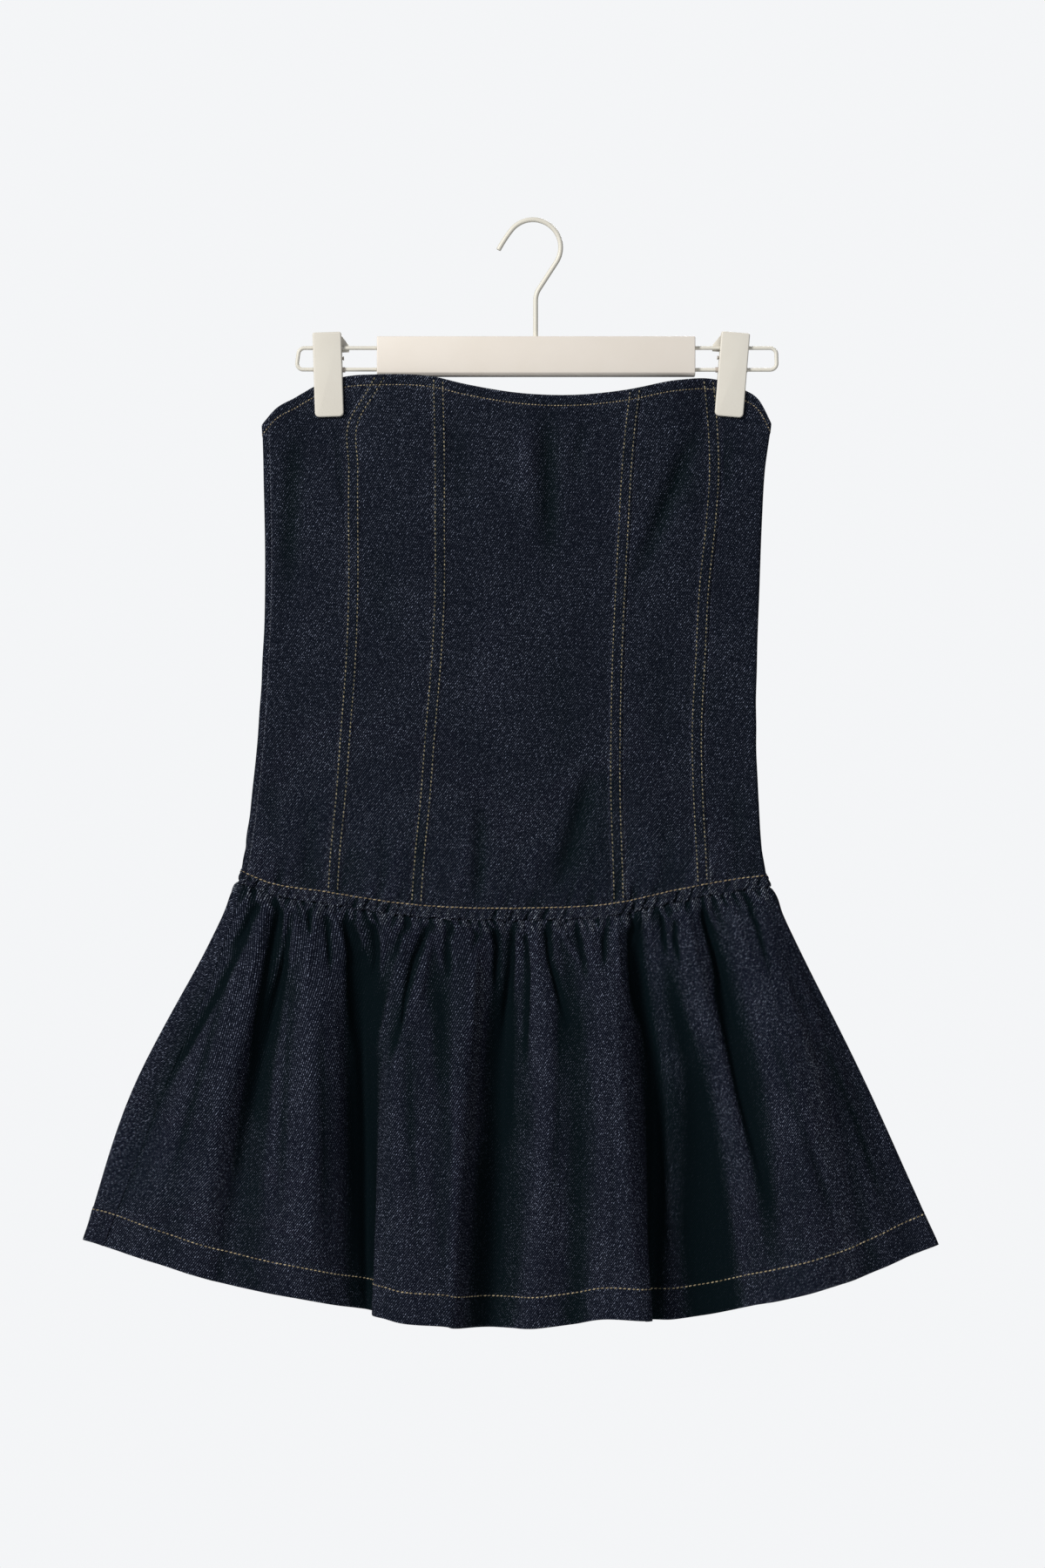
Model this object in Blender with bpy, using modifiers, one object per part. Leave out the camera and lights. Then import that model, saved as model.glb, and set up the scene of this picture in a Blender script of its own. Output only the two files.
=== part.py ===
"""Strapless denim dress with a gathered frill, clipped by its neckline to a wire and bar hanger.

The origin is the top of the hook's inner curve, where it bears on a rail. The dress hangs below it
with its front towards -Y. Sizes and tables are in millimetres, and left is -X.
"""

import math

import bmesh
import bpy
import numpy as np

MM = 0.001
GAP = 0.3  # between neighbouring pieces
NEAR = 0.4  # step along the girth that finds a direction

# Cloth
WALL = 1.3
TURN = 0.7  # added inside by a turned edge
NECK_TURN = 8.0
HEM_TURN = 25.0
FELL_WIDTH = 9.0  # raised strip beside each felled seam
FELL_RISE = 0.9
WAIST_STRIP = 8.5  # the bodice's turned lower edge, which lies over the gathers
WAIST_RISE = 0.9
STEP = 1.2  # width of the slope beside a raised strip
SIDE_RADIUS = 3.0  # fold at the sides, where front becomes back
SIDE_SEAM_IN = 6.0  # side seams lie this far past the fold, left one on the front, right one on the back
PINCHED = 2.2  # half of the thickness that the clips hold

# Gathers
GATHERS = 40  # on the front, and as many on the back
COLUMNS_PER_GATHER = 2
GATHER_DEPTH = 1.3
FRILL_ROWS = (0, 0.035, 0.08, 0.14, 0.22, 0.32, 0.43, 0.54, 0.65, 0.76, 0.86)
TURN_STEP = 0.003  # the same step as a share of the seam, where the front is 2
UPPER_LEVEL = -568.0  # heights of the "upper" and "mid" columns of the fold tables
MID_LEVEL = -676.0

# Hanger
WIRE = 3.0
HOOK_WIRE = 3.8
HOOK_RADIUS = 21.6
STEM_X = 2.7
BAR_LEFT, BAR_RIGHT = -121.0, 127.2
BAR_TOP, BAR_BOTTOM, BAR_DEPTH = -89.8, -119.7, 12.0
LOOP_TOP, LOOP_BOTTOM, LOOP_CORNER = -98.3, -115.3, 5.5
LOOP_LEFT, LOOP_RIGHT = -184.1, 192.3
CLIP_WIDTH, CLIP_HEIGHT, CLIP_THICK = 22.4, 66.0, 1.4
CLIP_TOP_CORNER, CLIP_LOW_CORNER = 2.0, 4.5
PIVOT_WIDTH = 12.0
CLIP_HOLD = 30.0  # width of cloth pressed flat by a clip
CLIP_TOP = -86.4


def table(columns, *rows):
    return dict(zip(columns.split(), np.array(rows, float).T))


# Places of the bodice's edges and seams, and how far front and back stand out, at each height
BODICE = table(
    "z       left  outer_l inner_l inner_r outer_r right  front  back",
    (-540.6, -232.6, -161.2, -95.9, 72.8, 138.7, 189.0, 8.0, 7.0),
    (-493.0, -225.1, -158.4, -92.5, 71.4, 136.7, 180.2, 8.0, 6.5),
    (-452.2, -219.6, -154.4, -88.4, 70.0, 134.6, 176.8, 8.0, 6.5),
    (-397.8, -214.2, -150.3, -84.3, 70.0, 133.3, 174.8, 8.5, 7.0),
    (-343.4, -210.8, -146.2, -79.6, 71.1, 136.0, 175.4, 9.5, 7.5),
    (-289.0, -208.8, -144.2, -76.8, 73.4, 138.7, 177.5, 11.0, 8.0),
    (-234.6, -208.8, -144.2, -76.8, 76.2, 144.2, 179.5, 12.0, 8.0),
    (-193.8, -209.8, -144.2, -76.8, 78.5, 146.9, 181.9, 11.5, 7.0),
    (-153.0, -210.8, -143.0, -77.5, 82.3, 145.5, 187.0, 9.0, 5.5),
    (-136.0, -211.0, -132.0, -77.9, 84.5, 144.0, 187.6, 8.0, 5.0),
    (-119.0, -211.0, -122.0, -78.2, 87.0, 142.1, 187.8, 7.0, 4.5),
)

# Height of the neckline
NECKLINE = table(
    "x      front   back",
    (-210.8, -158.4, -158.4),
    (-201.0, -147.0, -148.5),
    (-185.0, -137.4, -139.0),
    (-170.0, -128.6, -130.5),
    (-145.0, -120.6, -125.0),
    (-120.0, -119.7, -124.5),
    (-78.0, -121.5, -129.5),
    (-52.0, -127.5, -134.5),
    (-9.0, -134.6, -140.5),
    (32.0, -136.0, -142.0),
    (73.0, -131.9, -138.0),
    (114.0, -123.9, -129.0),
    (142.0, -122.8, -126.5),
    (165.0, -130.8, -132.5),
    (178.0, -140.5, -141.5),
    (187.0, -158.0, -158.0),
)

# Height of the seam that joins the frill
WAISTLINE = table(
    "x      front   back",
    (-228.5, -514.0, -514.0),
    (-210.0, -522.2, -520.5),
    (-160.0, -531.1, -529.0),
    (-95.0, -540.6, -537.0),
    (0.0, -543.5, -540.0),
    (63.0, -540.0, -536.5),
    (115.0, -529.0, -527.0),
    (160.0, -521.0, -519.5),
    (184.4, -518.2, -518.2),
)

# Where the clips hold the neckline: their middle, and how far each leans to the right in degrees
CLIPS = table(
    "side x      lean",
    (-1, -159.1, -1.8),
    (1, 156.1, 4.7),
)

# The bodice's largest soft creases: ends, half width and depth. Below 0 it is a ridge, and side 1 is the back
CREASES = table(
    "side x_top z_top x_low z_low  width depth",
    (-1, 13.0, -150.0, 14.0, -268.0, 9.0, 2.2),
    (-1, -4.0, -160.0, -2.0, -215.0, 8.0, -1.6),
    (-1, 128.0, -163.0, 82.0, -280.0, 9.0, 2.2),
    (-1, -185.0, -165.0, -191.0, -290.0, 9.0, 1.8),
    (-1, 152.0, -165.0, 149.0, -216.0, 7.0, 1.4),
    (-1, -40.0, -470.0, -41.0, -532.0, 8.0, 1.8),
    (-1, 46.0, -435.0, 17.0, -520.0, 9.0, 1.8),
    (1, -60.0, -160.0, -40.0, -270.0, 10.0, 2.0),
    (1, 70.0, -150.0, 62.0, -250.0, 9.0, 1.8),
    (1, -120.0, -430.0, -100.0, -525.0, 9.0, 1.8),
)

# The frill's folds. Each row is one ridge, trough or fold edge: its place on the seam, from -1 at the left
# side to 1 at the right, then x and y at the upper and mid levels and at the hem, and the hem's height
FOLD_COLUMNS = "seam   upper_x upper_y mid_x mid_y hem_x hem_y hem_z"
FRONT_FOLDS = table(
    FOLD_COLUMNS,
    (-0.969, -241, -5, -285, -8, -332, -9, -799),  # side seam, left
    (-0.946, -230, -9, -269, -17, -305, -18, -806),
    (-0.907, -213, -11, -245, -22, -262, -24, -818),  # ridge
    (-0.842, -197, -8, -221, -11, -232, -19, -826),  # trough
    (-0.799, -187, -11, -200, -21, -207, -26, -831),
    (-0.744, -175, -13, -177, -29, -181, -31, -835),  # ridge
    (-0.652, -156, -12, -152, -23, -152, -23, -842),
    (-0.587, -142, -9, -137, -11, -135, -12, -846),  # left pleat, outer side
    (-0.551, -135, -7, -130, -7, -127, -9, -848),  # its floor
    (-0.522, -129, -8, -126, -15, -123, -18, -848),  # under the overlap
    (-0.489, -123, -11, -124, -25, -127, -30, -849),  # its folded edge
    (-0.457, -116, -14, -118, -33, -121, -39, -850),
    (-0.391, -101, -16, -103, -36, -100, -43, -853),  # ridge
    (-0.307, -84, -13, -79, -31, -76, -42, -855),
    (-0.189, -56, -15, -53, -33, -56, -37, -857),  # ridge
    (-0.010, -18, -9, -24, -18, -30, -25, -860),  # trough
    (0.111, 3, -15, 10, -33, 1, -37, -858),  # ridge
    (0.219, 26, -12, 36, -28, 31, -31, -855),
    (0.349, 53, -15, 60, -36, 58, -42, -850),  # ridge
    (0.431, 68, -14, 74, -34, 85, -44, -851),
    (0.463, 75, -11, 82, -25, 92, -37, -852),  # right pleat, folded edge
    (0.486, 79, -8, 86, -16, 89, -27, -854),  # under the overlap
    (0.512, 83, -7, 93, -10, 91, -15, -855),  # its floor
    (0.555, 92, -8, 106, -9, 109, -9, -855),  # trough
    (0.610, 108, -12, 128, -15, 138, -15, -851),
    (0.675, 124, -15, 148, -25, 169, -24, -843),  # ridge
    (0.763, 144, -9, 170, -14, 190, -20, -838),  # trough
    (0.848, 170, -14, 203, -27, 225, -28, -829),  # ridge
    (0.920, 189, -12, 229, -19, 263, -17, -818),
    (0.959, 201, -8, 250, -11, 294, -13, -806),
)
BACK_FOLDS = table(
    FOLD_COLUMNS,
    (1.000, 209, 0, 262, 0, 317, 0, -798),  # right side
    (0.969, 202, 7, 251, 9, 299, 10, -804),  # side seam, right
    (0.900, 185, 11, 226, 18, 262, 22, -815),  # ridge
    (0.800, 160, 8, 193, 9, 221, 10, -826),  # trough
    (0.700, 141, 12, 168, 18, 188, 21, -834),  # ridge
    (0.590, 116, 8, 138, 8, 153, 9, -842),  # trough
    (0.480, 93, 12, 111, 20, 124, 25, -847),  # ridge
    (0.350, 65, 11, 74, 15, 82, 17, -850),
    (0.240, 38, 8, 44, 8, 52, 9, -852),  # trough
    (0.110, 5, 12, 15, 19, 17, 23, -854),  # ridge
    (0.000, -22, 9, -20, 13, -21, 15, -855),
    (-0.120, -53, 12, -50, 20, -56, 24, -854),  # ridge
    (-0.240, -82, 8, -86, 8, -92, 8, -851),  # trough
    (-0.370, -109, 12, -119, 19, -131, 23, -846),  # ridge
    (-0.470, -134, 10, -149, 13, -165, 14, -842),
    (-0.570, -159, 12, -181, 20, -199, 25, -836),  # ridge
    (-0.680, -185, 8, -212, 8, -237, 9, -827),  # trough
    (-0.800, -211, 11, -245, 17, -277, 21, -817),  # ridge
    (-0.910, -236, 8, -277, 11, -317, 12, -805),
    (-1.000, -253, 0, -308, 0, -349, 0, -795),  # left side
)


def smooth(places, values, at):
    """Reads a smooth curve through the rows of a table, whose places rise."""
    places, values, at = np.asarray(places, float), np.asarray(values, float), np.asarray(at, float)
    slopes = np.gradient(values, places)
    k = np.clip(np.searchsorted(places, at) - 1, 0, len(places) - 2)
    width = places[k + 1] - places[k]
    u = np.clip((at - places[k]) / width, 0, 1)
    near = (1 + 2 * u) * (1 - u) ** 2 * values[k] + u * (1 - u) ** 2 * width * slopes[k]
    far = u * u * (3 - 2 * u) * values[k + 1] + u * u * (u - 1) * width * slopes[k + 1]
    return near + far


def bodice_at(column, z):
    return smooth(BODICE["z"], BODICE[column], z)


def half_girth(z):
    """Length of the cloth from the left fold to the right one."""
    return bodice_at("right", z) - bodice_at("left", z) + (math.pi - 2) * SIDE_RADIUS


def place_of(x, z, back):
    """How far along the girth a place on the front or back lies, from the left fold through the front."""
    along = x - bodice_at("left", z) + (math.pi / 2 - 1) * SIDE_RADIUS
    return 2 * half_girth(z) - along if back else along


def soft_fade(value, low, high):
    u = np.clip((value - low) / (high - low), 0, 1)
    return u * u * (3 - 2 * u)


def crease_depth(side, x, z):
    total = np.zeros_like(x)
    for row in zip(*CREASES.values()):
        crease_side, x_top, z_top, x_low, z_low, width, depth = row
        down = (z_top - z) / (z_top - z_low)
        line = x_top + (x_low - x_top) * down
        length = soft_fade(down, -0.15, 0.3) * soft_fade(-down, -1.15, -0.6)
        total += (side == crease_side) * depth * length * np.exp(-(((x - line) / width) ** 2))
    return total


def held_by_clips(x, z):
    """1 where a clip holds front and back together, fading to 0 around it."""
    held = np.zeros_like(x)
    for clip_x in CLIPS["x"]:
        beside = np.maximum(np.abs(x - clip_x) - CLIP_HOLD / 2, 0)
        held = np.maximum(held, np.exp(-((beside / 16) ** 2)))
    return held * soft_fade(z, -225, -156)


def girth_point(place, z):
    """The cloth's outer surface at a place along the girth of one height: x and y."""
    half = half_girth(z)
    place = np.mod(place, 2 * half)
    side = np.where(place < half, -1, 1)
    along = np.where(place < half, place, 2 * half - place)
    from_fold = np.minimum(along, half - along)
    angle = np.clip(from_fold / SIDE_RADIUS, 0, math.pi / 2)
    fold_x = SIDE_RADIUS * (1 - np.cos(angle)) + np.maximum(from_fold - SIDE_RADIUS * math.pi / 2, 0)
    left, right = bodice_at("left", z), bodice_at("right", z)
    x = np.where(along < half / 2, left + fold_x, right - fold_x)

    across = (x - (left + right) / 2) / ((right - left) / 2 - SIDE_RADIUS)
    lens = np.clip(1 - across**2, 0, 1)
    bulge = np.where(side < 0, bodice_at("front", z), bodice_at("back", z)) * lens
    depth = SIDE_RADIUS * np.sin(angle) + bulge - crease_depth(side, x, z) * np.clip(lens * 4, 0, 1)
    depth = np.where(depth > PINCHED, depth + (PINCHED - depth) * held_by_clips(x, z), depth)
    return x, side * depth


def outward(before, after):
    """Level outward directions, from places just before and just after each point of the girth."""
    along_x, along_y = after[0] - before[0], after[1] - before[1]
    length = np.hypot(along_x, along_y)
    return along_y / length, -along_x / length


def add_object(name, mesh, material):
    mesh.materials.append(material)
    made = bpy.data.objects.new(name, mesh)
    dress.objects.link(made)
    return made


def wall(name, points, normals, rise, thickness, material):
    """A cloth wall through rows of points: the outer face is lifted by rise over a plain inner face."""
    (x, y, z), (normal_x, normal_y) = points, normals
    outer = np.stack([x + normal_x * rise, y + normal_y * rise, z], axis=-1)
    inner = np.stack([x - normal_x * thickness, y - normal_y * thickness, z], axis=-1)
    rows, columns = x.shape
    shape = bmesh.new()
    grid = [[[shape.verts.new(p * MM) for p in row] for row in face] for face in (outer, inner)]
    for r in range(rows - 1):
        for c in range(columns - 1):
            for face in grid:
                shape.faces.new((face[r][c], face[r + 1][c], face[r + 1][c + 1], face[r][c + 1]))
    front, behind = grid
    edge = [(0, c) for c in range(columns)] + [(r, columns - 1) for r in range(1, rows)]
    edge += [(rows - 1, c) for c in range(columns - 2, -1, -1)] + [(r, 0) for r in range(rows - 2, 0, -1)]
    for (r, c), (next_r, next_c) in zip(edge, edge[1:] + edge[:1]):
        shape.faces.new((front[r][c], front[next_r][next_c], behind[next_r][next_c], behind[r][c]))
    bmesh.ops.recalc_face_normals(shape, faces=shape.faces)
    mesh = bpy.data.meshes.new(name)
    shape.to_mesh(mesh)
    shape.free()
    return add_object(name, mesh, material)


def neck_height(x, y):
    heights = [smooth(NECKLINE["x"], NECKLINE[side], x) for side in ("front", "back")]
    return np.where(y < 0, *heights)


def waist_height(x, y):
    heights = [smooth(WAISTLINE["x"], WAISTLINE[side], x) for side in ("front", "back")]
    return np.where(y < 0, *heights)


# Rows of the bodice: share of the way from neckline to waist seam, and an offset from there
BODICE_ROWS = (
    (0, 0),
    (0, -NECK_TURN),
    (0, -NECK_TURN - STEP),
    (0.09, 0),
    (0.16, 0),
    (0.24, 0),
    (0.34, 0),
    (0.46, 0),
    (0.58, 0),
    (0.70, 0),
    (0.82, 0),
    (0.92, 0),
    (1, WAIST_STRIP + STEP),
    (1, WAIST_STRIP),
    (1, 0),
)


def bodice_panel(name, ends, fells, spans, material):
    """One panel. ends gives its two seams' places at a height, fells says which end has a raised strip,
    and spans is how many columns the rest is cut into."""
    share = np.array([row[0] for row in BODICE_ROWS])[:, None]
    offset = np.array([row[1] for row in BODICE_ROWS])[:, None]
    left_marks = [0, FELL_WIDTH, FELL_WIDTH + STEP] if fells[0] else [0]
    right_marks = [FELL_WIDTH + STEP, FELL_WIDTH, 0] if fells[1] else [0]
    fractions = np.linspace(0, 1, spans + 1)[1:-1]

    z = np.full((len(BODICE_ROWS), len(left_marks) + len(fractions) + len(right_marks)), -300.0)
    for _ in range(6):
        start, end = ends(z)
        start, end = start + GAP / 2, end - GAP / 2
        columns = [start[:, i] + mark for i, mark in enumerate(left_marks)]
        inside = start + left_marks[-1], end - right_marks[0]
        columns += [
            inside[0][:, len(left_marks) + i] * (1 - f) + inside[1][:, len(left_marks) + i] * f
            for i, f in enumerate(fractions)
        ]
        columns += [end[:, i - len(right_marks)] - mark for i, mark in enumerate(right_marks)]
        place = around_the_folds(np.stack(columns, axis=1), z)
        x, y = girth_point(place, z)
        z = neck_height(x, y) * (1 - share) + waist_height(x, y) * share + offset

    rise = np.zeros_like(x)
    if fells[0]:
        rise[:, :2] = FELL_RISE
    if fells[1]:
        rise[:, -2:] = FELL_RISE
    rise[-2:] = np.maximum(rise[-2:], WAIST_RISE)
    rise *= 1 - held_by_clips(x, z)
    thickness = np.full_like(x, WALL)
    thickness[:2] = WALL + TURN
    normals = outward(girth_point(place - NEAR, z), girth_point(place + NEAR, z))
    return wall(name, (x, y, z), normals, rise, thickness, material)


def around_the_folds(place, z):
    """Draws the columns nearest a side fold onto its quarter points, so that the fold is round."""
    half = half_girth(z)
    quarter = SIDE_RADIUS * math.pi / 4
    for fold in (half, 2 * half):
        for r in range(place.shape[0]):
            if place[r, 1] < fold[r, -3] < place[r, -1]:
                place[r, -5:-1] = fold[r, -5:-1] + quarter * np.array([-3, -1.5, 0, 1.2])
    return place


def seam(column, back=False):
    """A felled seam's place on the girth, as a function of height."""
    return lambda z: place_of(bodice_at(column, z), z, back)


def side_seam(folds):
    """The side seam just past the left fold, which is 0 and again 2, or past the right one, which is 1."""
    return lambda z: folds * half_girth(z) + SIDE_SEAM_IN


def centre_back(z):
    return 1.5 * half_girth(z)


def bodice():
    left, right, left_again = side_seam(0), side_seam(1), side_seam(2)
    runs = (
        ("bodice_front_side_left", left, seam("outer_l"), (False, False), 7),
        ("bodice_front_mid_left", seam("outer_l"), seam("inner_l"), (True, False), 6),
        ("bodice_front_centre", seam("inner_l"), seam("inner_r"), (True, True), 10),
        ("bodice_front_mid_right", seam("inner_r"), seam("outer_r"), (False, True), 6),
        ("bodice_front_side_right", seam("outer_r"), right, (False, False), 10),
        ("bodice_back_side_right", right, seam("outer_r", True), (False, False), 6),
        ("bodice_back_centre_right", seam("outer_r", True), centre_back, (True, False), 8),
        ("bodice_back_centre_left", centre_back, seam("outer_l", True), (False, True), 8),
        ("bodice_back_side_left", seam("outer_l", True), left_again, (False, False), 10),
    )
    for name, start, end, fells, spans in runs:
        bodice_panel(name, lambda z: (start(z), end(z)), fells, spans, denim)


def fold_columns():
    """The fold tables as one ring, with seam places running from -1 through the front and back to 3."""
    names = FOLD_COLUMNS.split()
    ring = {}
    for name in names:
        front, back = FRONT_FOLDS[name], BACK_FOLDS[name]
        if name == "seam":
            back = 2 - back
        ring[name] = np.concatenate([front, back])
    order = np.argsort(ring["seam"])
    ring = {name: ring[name][order] for name in names}
    before, after = slice(-4, -1), slice(0, 3)
    closed = {}
    for name in names:
        turn = 4 if name == "seam" else 0
        values = ring[name]
        closed[name] = np.concatenate([values[before] - turn, [values[-1] - turn], values, values[after] + turn])
    return closed


def frill_surface(folds, turn):
    """Outer surface of the frill without its gathers: x, y and z, a row for each height."""
    read = {c: smooth(folds["seam"], folds[c], turn) for c in folds}
    z = np.full_like(turn, -530.0)
    for _ in range(6):
        x, y = girth_point((turn + 1) / 2 * half_girth(z), z)
        z = waist_height(x, y)
    seam, seam_z, hem_z = (x, y), z - GAP, read["hem_z"]
    shares = np.array(FRILL_ROWS)[:, None]
    hem_rows = [hem_z + HEM_TURN + STEP, hem_z + HEM_TURN, hem_z]
    heights = np.concatenate([seam_z * (1 - shares) + hem_z * shares, hem_rows])
    level = [np.empty_like(heights), np.empty_like(heights)]
    for i in range(len(turn)):
        knots = [hem_z[i], MID_LEVEL, UPPER_LEVEL, seam_z[i]]
        for axis, letter in enumerate("xy"):
            rows = [read[f"{height}_{letter}"][i] for height in ("hem", "mid", "upper")]
            level[axis][:, i] = smooth(knots, rows + [seam[axis][i]], heights[:, i])
    return level[0], level[1], heights


def frill_panel(name, start, end, material):
    """One length of the frill, between two places on the seam."""
    folds = fold_columns()
    columns = GATHERS * COLUMNS_PER_GATHER
    fine = np.linspace(start, end, 400)
    hem = [smooth(folds["seam"], folds[c], fine) for c in ("hem_x", "hem_y")]
    length = np.concatenate([[0], np.cumsum(np.hypot(*np.diff(hem)))])
    even = 0.5 * length / length[-1] + 0.5 * (fine - start) / (end - start)
    turn = np.interp(np.linspace(0, 1, columns + 1), even, fine)

    x, y, z = frill_surface(folds, turn)
    normal_x, normal_y = outward(frill_surface(folds, turn - TURN_STEP), frill_surface(folds, turn + TURN_STEP))
    index = np.arange(columns + 1) / COLUMNS_PER_GATHER
    reach = 0.10 + 0.16 * np.mod(index * 0.618, 1)
    down = (z[0] - z) / (z[0] - z[-1])
    wave = -np.cos(2 * math.pi * index) * (0.7 + 0.3 * np.cos(index * 2.4))
    gather = GATHER_DEPTH * wave * np.exp(-((down / reach) ** 2))
    points = (x + normal_x * gather, y + normal_y * gather, z)
    thickness = np.full_like(x, WALL)
    thickness[-2:] = WALL + TURN
    return wall(name, points, (normal_x, normal_y), np.zeros_like(x), thickness, material)


def frill():
    half = half_girth(-515.0)
    inside = GAP / half
    left = -1 + 2 * SIDE_SEAM_IN / half
    right = 1 + 2 * SIDE_SEAM_IN / half
    frill_panel("frill_front", left + inside / 2, right - inside / 2, denim)
    frill_panel("frill_back", right + inside / 2, left + 4 - inside / 2, denim)


def wire(name, points, thickness, material):
    path = bpy.data.curves.new(name, "CURVE")
    path.dimensions = "3D"
    path.bevel_depth = thickness / 2 * MM
    path.bevel_resolution = 2
    path.use_fill_caps = True
    spline = path.splines.new("POLY")
    spline.points.add(len(points) - 1)
    for point, (x, z) in zip(spline.points, points):
        point.co = (x * MM, 0, z * MM, 1)
    path.materials.append(material)
    made = bpy.data.objects.new(name, path)
    dress.objects.link(made)
    return made


def arc(centre, radius, first, last, steps):
    """Points on an arc in the hanger's plane, its angles in degrees from +X towards +Z."""
    angles = np.radians(np.linspace(first, last, steps + 1))
    return [(centre[0] + radius * math.cos(a), centre[1] + radius * math.sin(a)) for a in angles]


def block(name, size, place, lean, bevel, material):
    """A box with all its edges rounded, leaning about Y."""
    made = add_object(name, box_mesh(name, size), material)
    made.location = [c * MM for c in place]
    made.rotation_euler = (0, math.radians(lean), 0)
    rounding = made.modifiers.new("Rounded edges", "BEVEL")
    rounding.width = bevel * MM
    rounding.segments = 2
    return made


def box_mesh(name, size, low_corner=0, top_corner=0):
    """A box whose edges along Y may be rounded, those at its bottom and those at its top."""
    shape = bmesh.new()
    bmesh.ops.create_cube(shape, size=1)
    bmesh.ops.scale(shape, vec=[side * MM for side in size], verts=shape.verts)
    for radius, side in ((low_corner, -1), (top_corner, 1)):
        if radius:
            corners = [e for e in shape.edges if is_corner(e, side, size[1] * MM)]
            bmesh.ops.bevel(shape, geom=corners, offset=radius * MM, segments=4, profile=0.5, affect="EDGES")
    mesh = bpy.data.meshes.new(name)
    shape.to_mesh(mesh)
    shape.free()
    return mesh


def is_corner(edge, side, depth):
    first, second = (v.co for v in edge.verts)
    return abs(first.y - second.y) > depth / 2 and first.z * side > 0


def hanger():
    hook_z = HOOK_WIRE / 2 - HOOK_RADIUS
    hook = [(-27.2, -23.1)] + arc((0.7, hook_z), HOOK_RADIUS, 147, -33, 20)
    hook += [(8.0, -48.2), (5.6, -52.4), (3.9, -56.4), (2.9, -60.6), (STEM_X, -65.5), (STEM_X, BAR_TOP + GAP)]
    wire("hanger_hook", hook, HOOK_WIRE, steel)

    bar_size = (BAR_RIGHT - BAR_LEFT, BAR_DEPTH, BAR_TOP - BAR_BOTTOM)
    bar_place = ((BAR_LEFT + BAR_RIGHT) / 2, 0, (BAR_TOP + BAR_BOTTOM) / 2)
    block("hanger_bar", bar_size, bar_place, 0, 2.0, cream)

    for name, bar_end, loop_end, side in (
        ("hanger_loop_left", BAR_LEFT - GAP, LOOP_LEFT, -1),
        ("hanger_loop_right", BAR_RIGHT + GAP, LOOP_RIGHT, 1),
    ):
        corner_x = loop_end - side * LOOP_CORNER
        upper = arc((corner_x, LOOP_TOP - LOOP_CORNER), LOOP_CORNER, 90, 90 - side * 90, 5)
        lower = arc((corner_x, LOOP_BOTTOM + LOOP_CORNER), LOOP_CORNER, 90 - side * 90, 90 - side * 180, 5)
        wire(name, [(bar_end, LOOP_TOP)] + upper + lower + [(bar_end, LOOP_BOTTOM)], WIRE, steel)


def clips():
    plate_size = (CLIP_WIDTH, CLIP_THICK, CLIP_HEIGHT)
    plate_y = PINCHED + GAP + CLIP_THICK / 2
    middle_z = CLIP_TOP - CLIP_HEIGHT / 2
    pivot_z = (LOOP_TOP + LOOP_BOTTOM) / 2
    pivot_size = (PIVOT_WIDTH, 2 * PINCHED, LOOP_TOP - LOOP_BOTTOM - WIRE - 4 * GAP)
    for side, x, lean in zip(*CLIPS.values()):
        label = "left" if side < 0 else "right"
        for face, y in (("front", -plate_y), ("back", plate_y)):
            name = f"clip_{label}_{face}"
            plate = box_mesh(name, plate_size, CLIP_LOW_CORNER, CLIP_TOP_CORNER)
            made = add_object(name, plate, steel)
            made.location = (x * MM, y * MM, middle_z * MM)
            made.rotation_euler = (0, math.radians(lean), 0)
        pivot_x = x + math.tan(math.radians(lean)) * (pivot_z - middle_z)
        block(f"clip_{label}_pivot", pivot_size, (pivot_x, 0, pivot_z), lean, 0.6, steel)


def make_material(name, colour, roughness, metallic=0.0):
    material = bpy.data.materials.new(name)
    material.use_nodes = True
    shader = material.node_tree.nodes["Principled BSDF"]
    shader.inputs["Base Color"].default_value = (*colour, 1)
    shader.inputs["Roughness"].default_value = roughness
    shader.inputs["Metallic"].default_value = metallic
    return material


for old in list(bpy.data.objects):
    bpy.data.objects.remove(old, do_unlink=True)
dress = bpy.data.collections.new("frill_dress")
bpy.context.scene.collection.children.link(dress)

denim = make_material("indigo_denim", (0.012, 0.017, 0.030), 0.85)
cream = make_material("cream_enamel", (0.80, 0.74, 0.66), 0.45)
steel = make_material("cream_steel", (0.78, 0.72, 0.64), 0.35, 0.2)

bodice()
frill()
hanger()
clips()
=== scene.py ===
# Strapless denim dress with a gathered frill, clipped to a cream wire and bar hanger.
# Sizes are in millimetres where the tables say so, and the cloth is built on the same curves as its solids.
import math

import bmesh
import bpy
import numpy as np
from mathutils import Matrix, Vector


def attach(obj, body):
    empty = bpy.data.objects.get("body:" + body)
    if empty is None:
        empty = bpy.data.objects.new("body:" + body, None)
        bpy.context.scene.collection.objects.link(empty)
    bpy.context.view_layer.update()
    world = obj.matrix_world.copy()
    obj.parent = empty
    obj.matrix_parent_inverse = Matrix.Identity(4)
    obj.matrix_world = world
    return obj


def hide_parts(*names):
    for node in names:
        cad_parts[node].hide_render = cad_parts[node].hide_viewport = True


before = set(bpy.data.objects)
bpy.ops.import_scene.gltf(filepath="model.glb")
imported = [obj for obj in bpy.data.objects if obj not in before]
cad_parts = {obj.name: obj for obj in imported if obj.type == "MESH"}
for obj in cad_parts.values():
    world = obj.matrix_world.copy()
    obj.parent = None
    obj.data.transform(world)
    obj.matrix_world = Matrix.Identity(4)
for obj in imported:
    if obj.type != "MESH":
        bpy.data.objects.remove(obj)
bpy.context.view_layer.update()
mm = 0.001


def table(columns, *rows):
    return dict(zip(columns.split(), np.array(rows, float).T))


# The dress's curves, in mm: x to the right, z up from the hook, front towards -y

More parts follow.
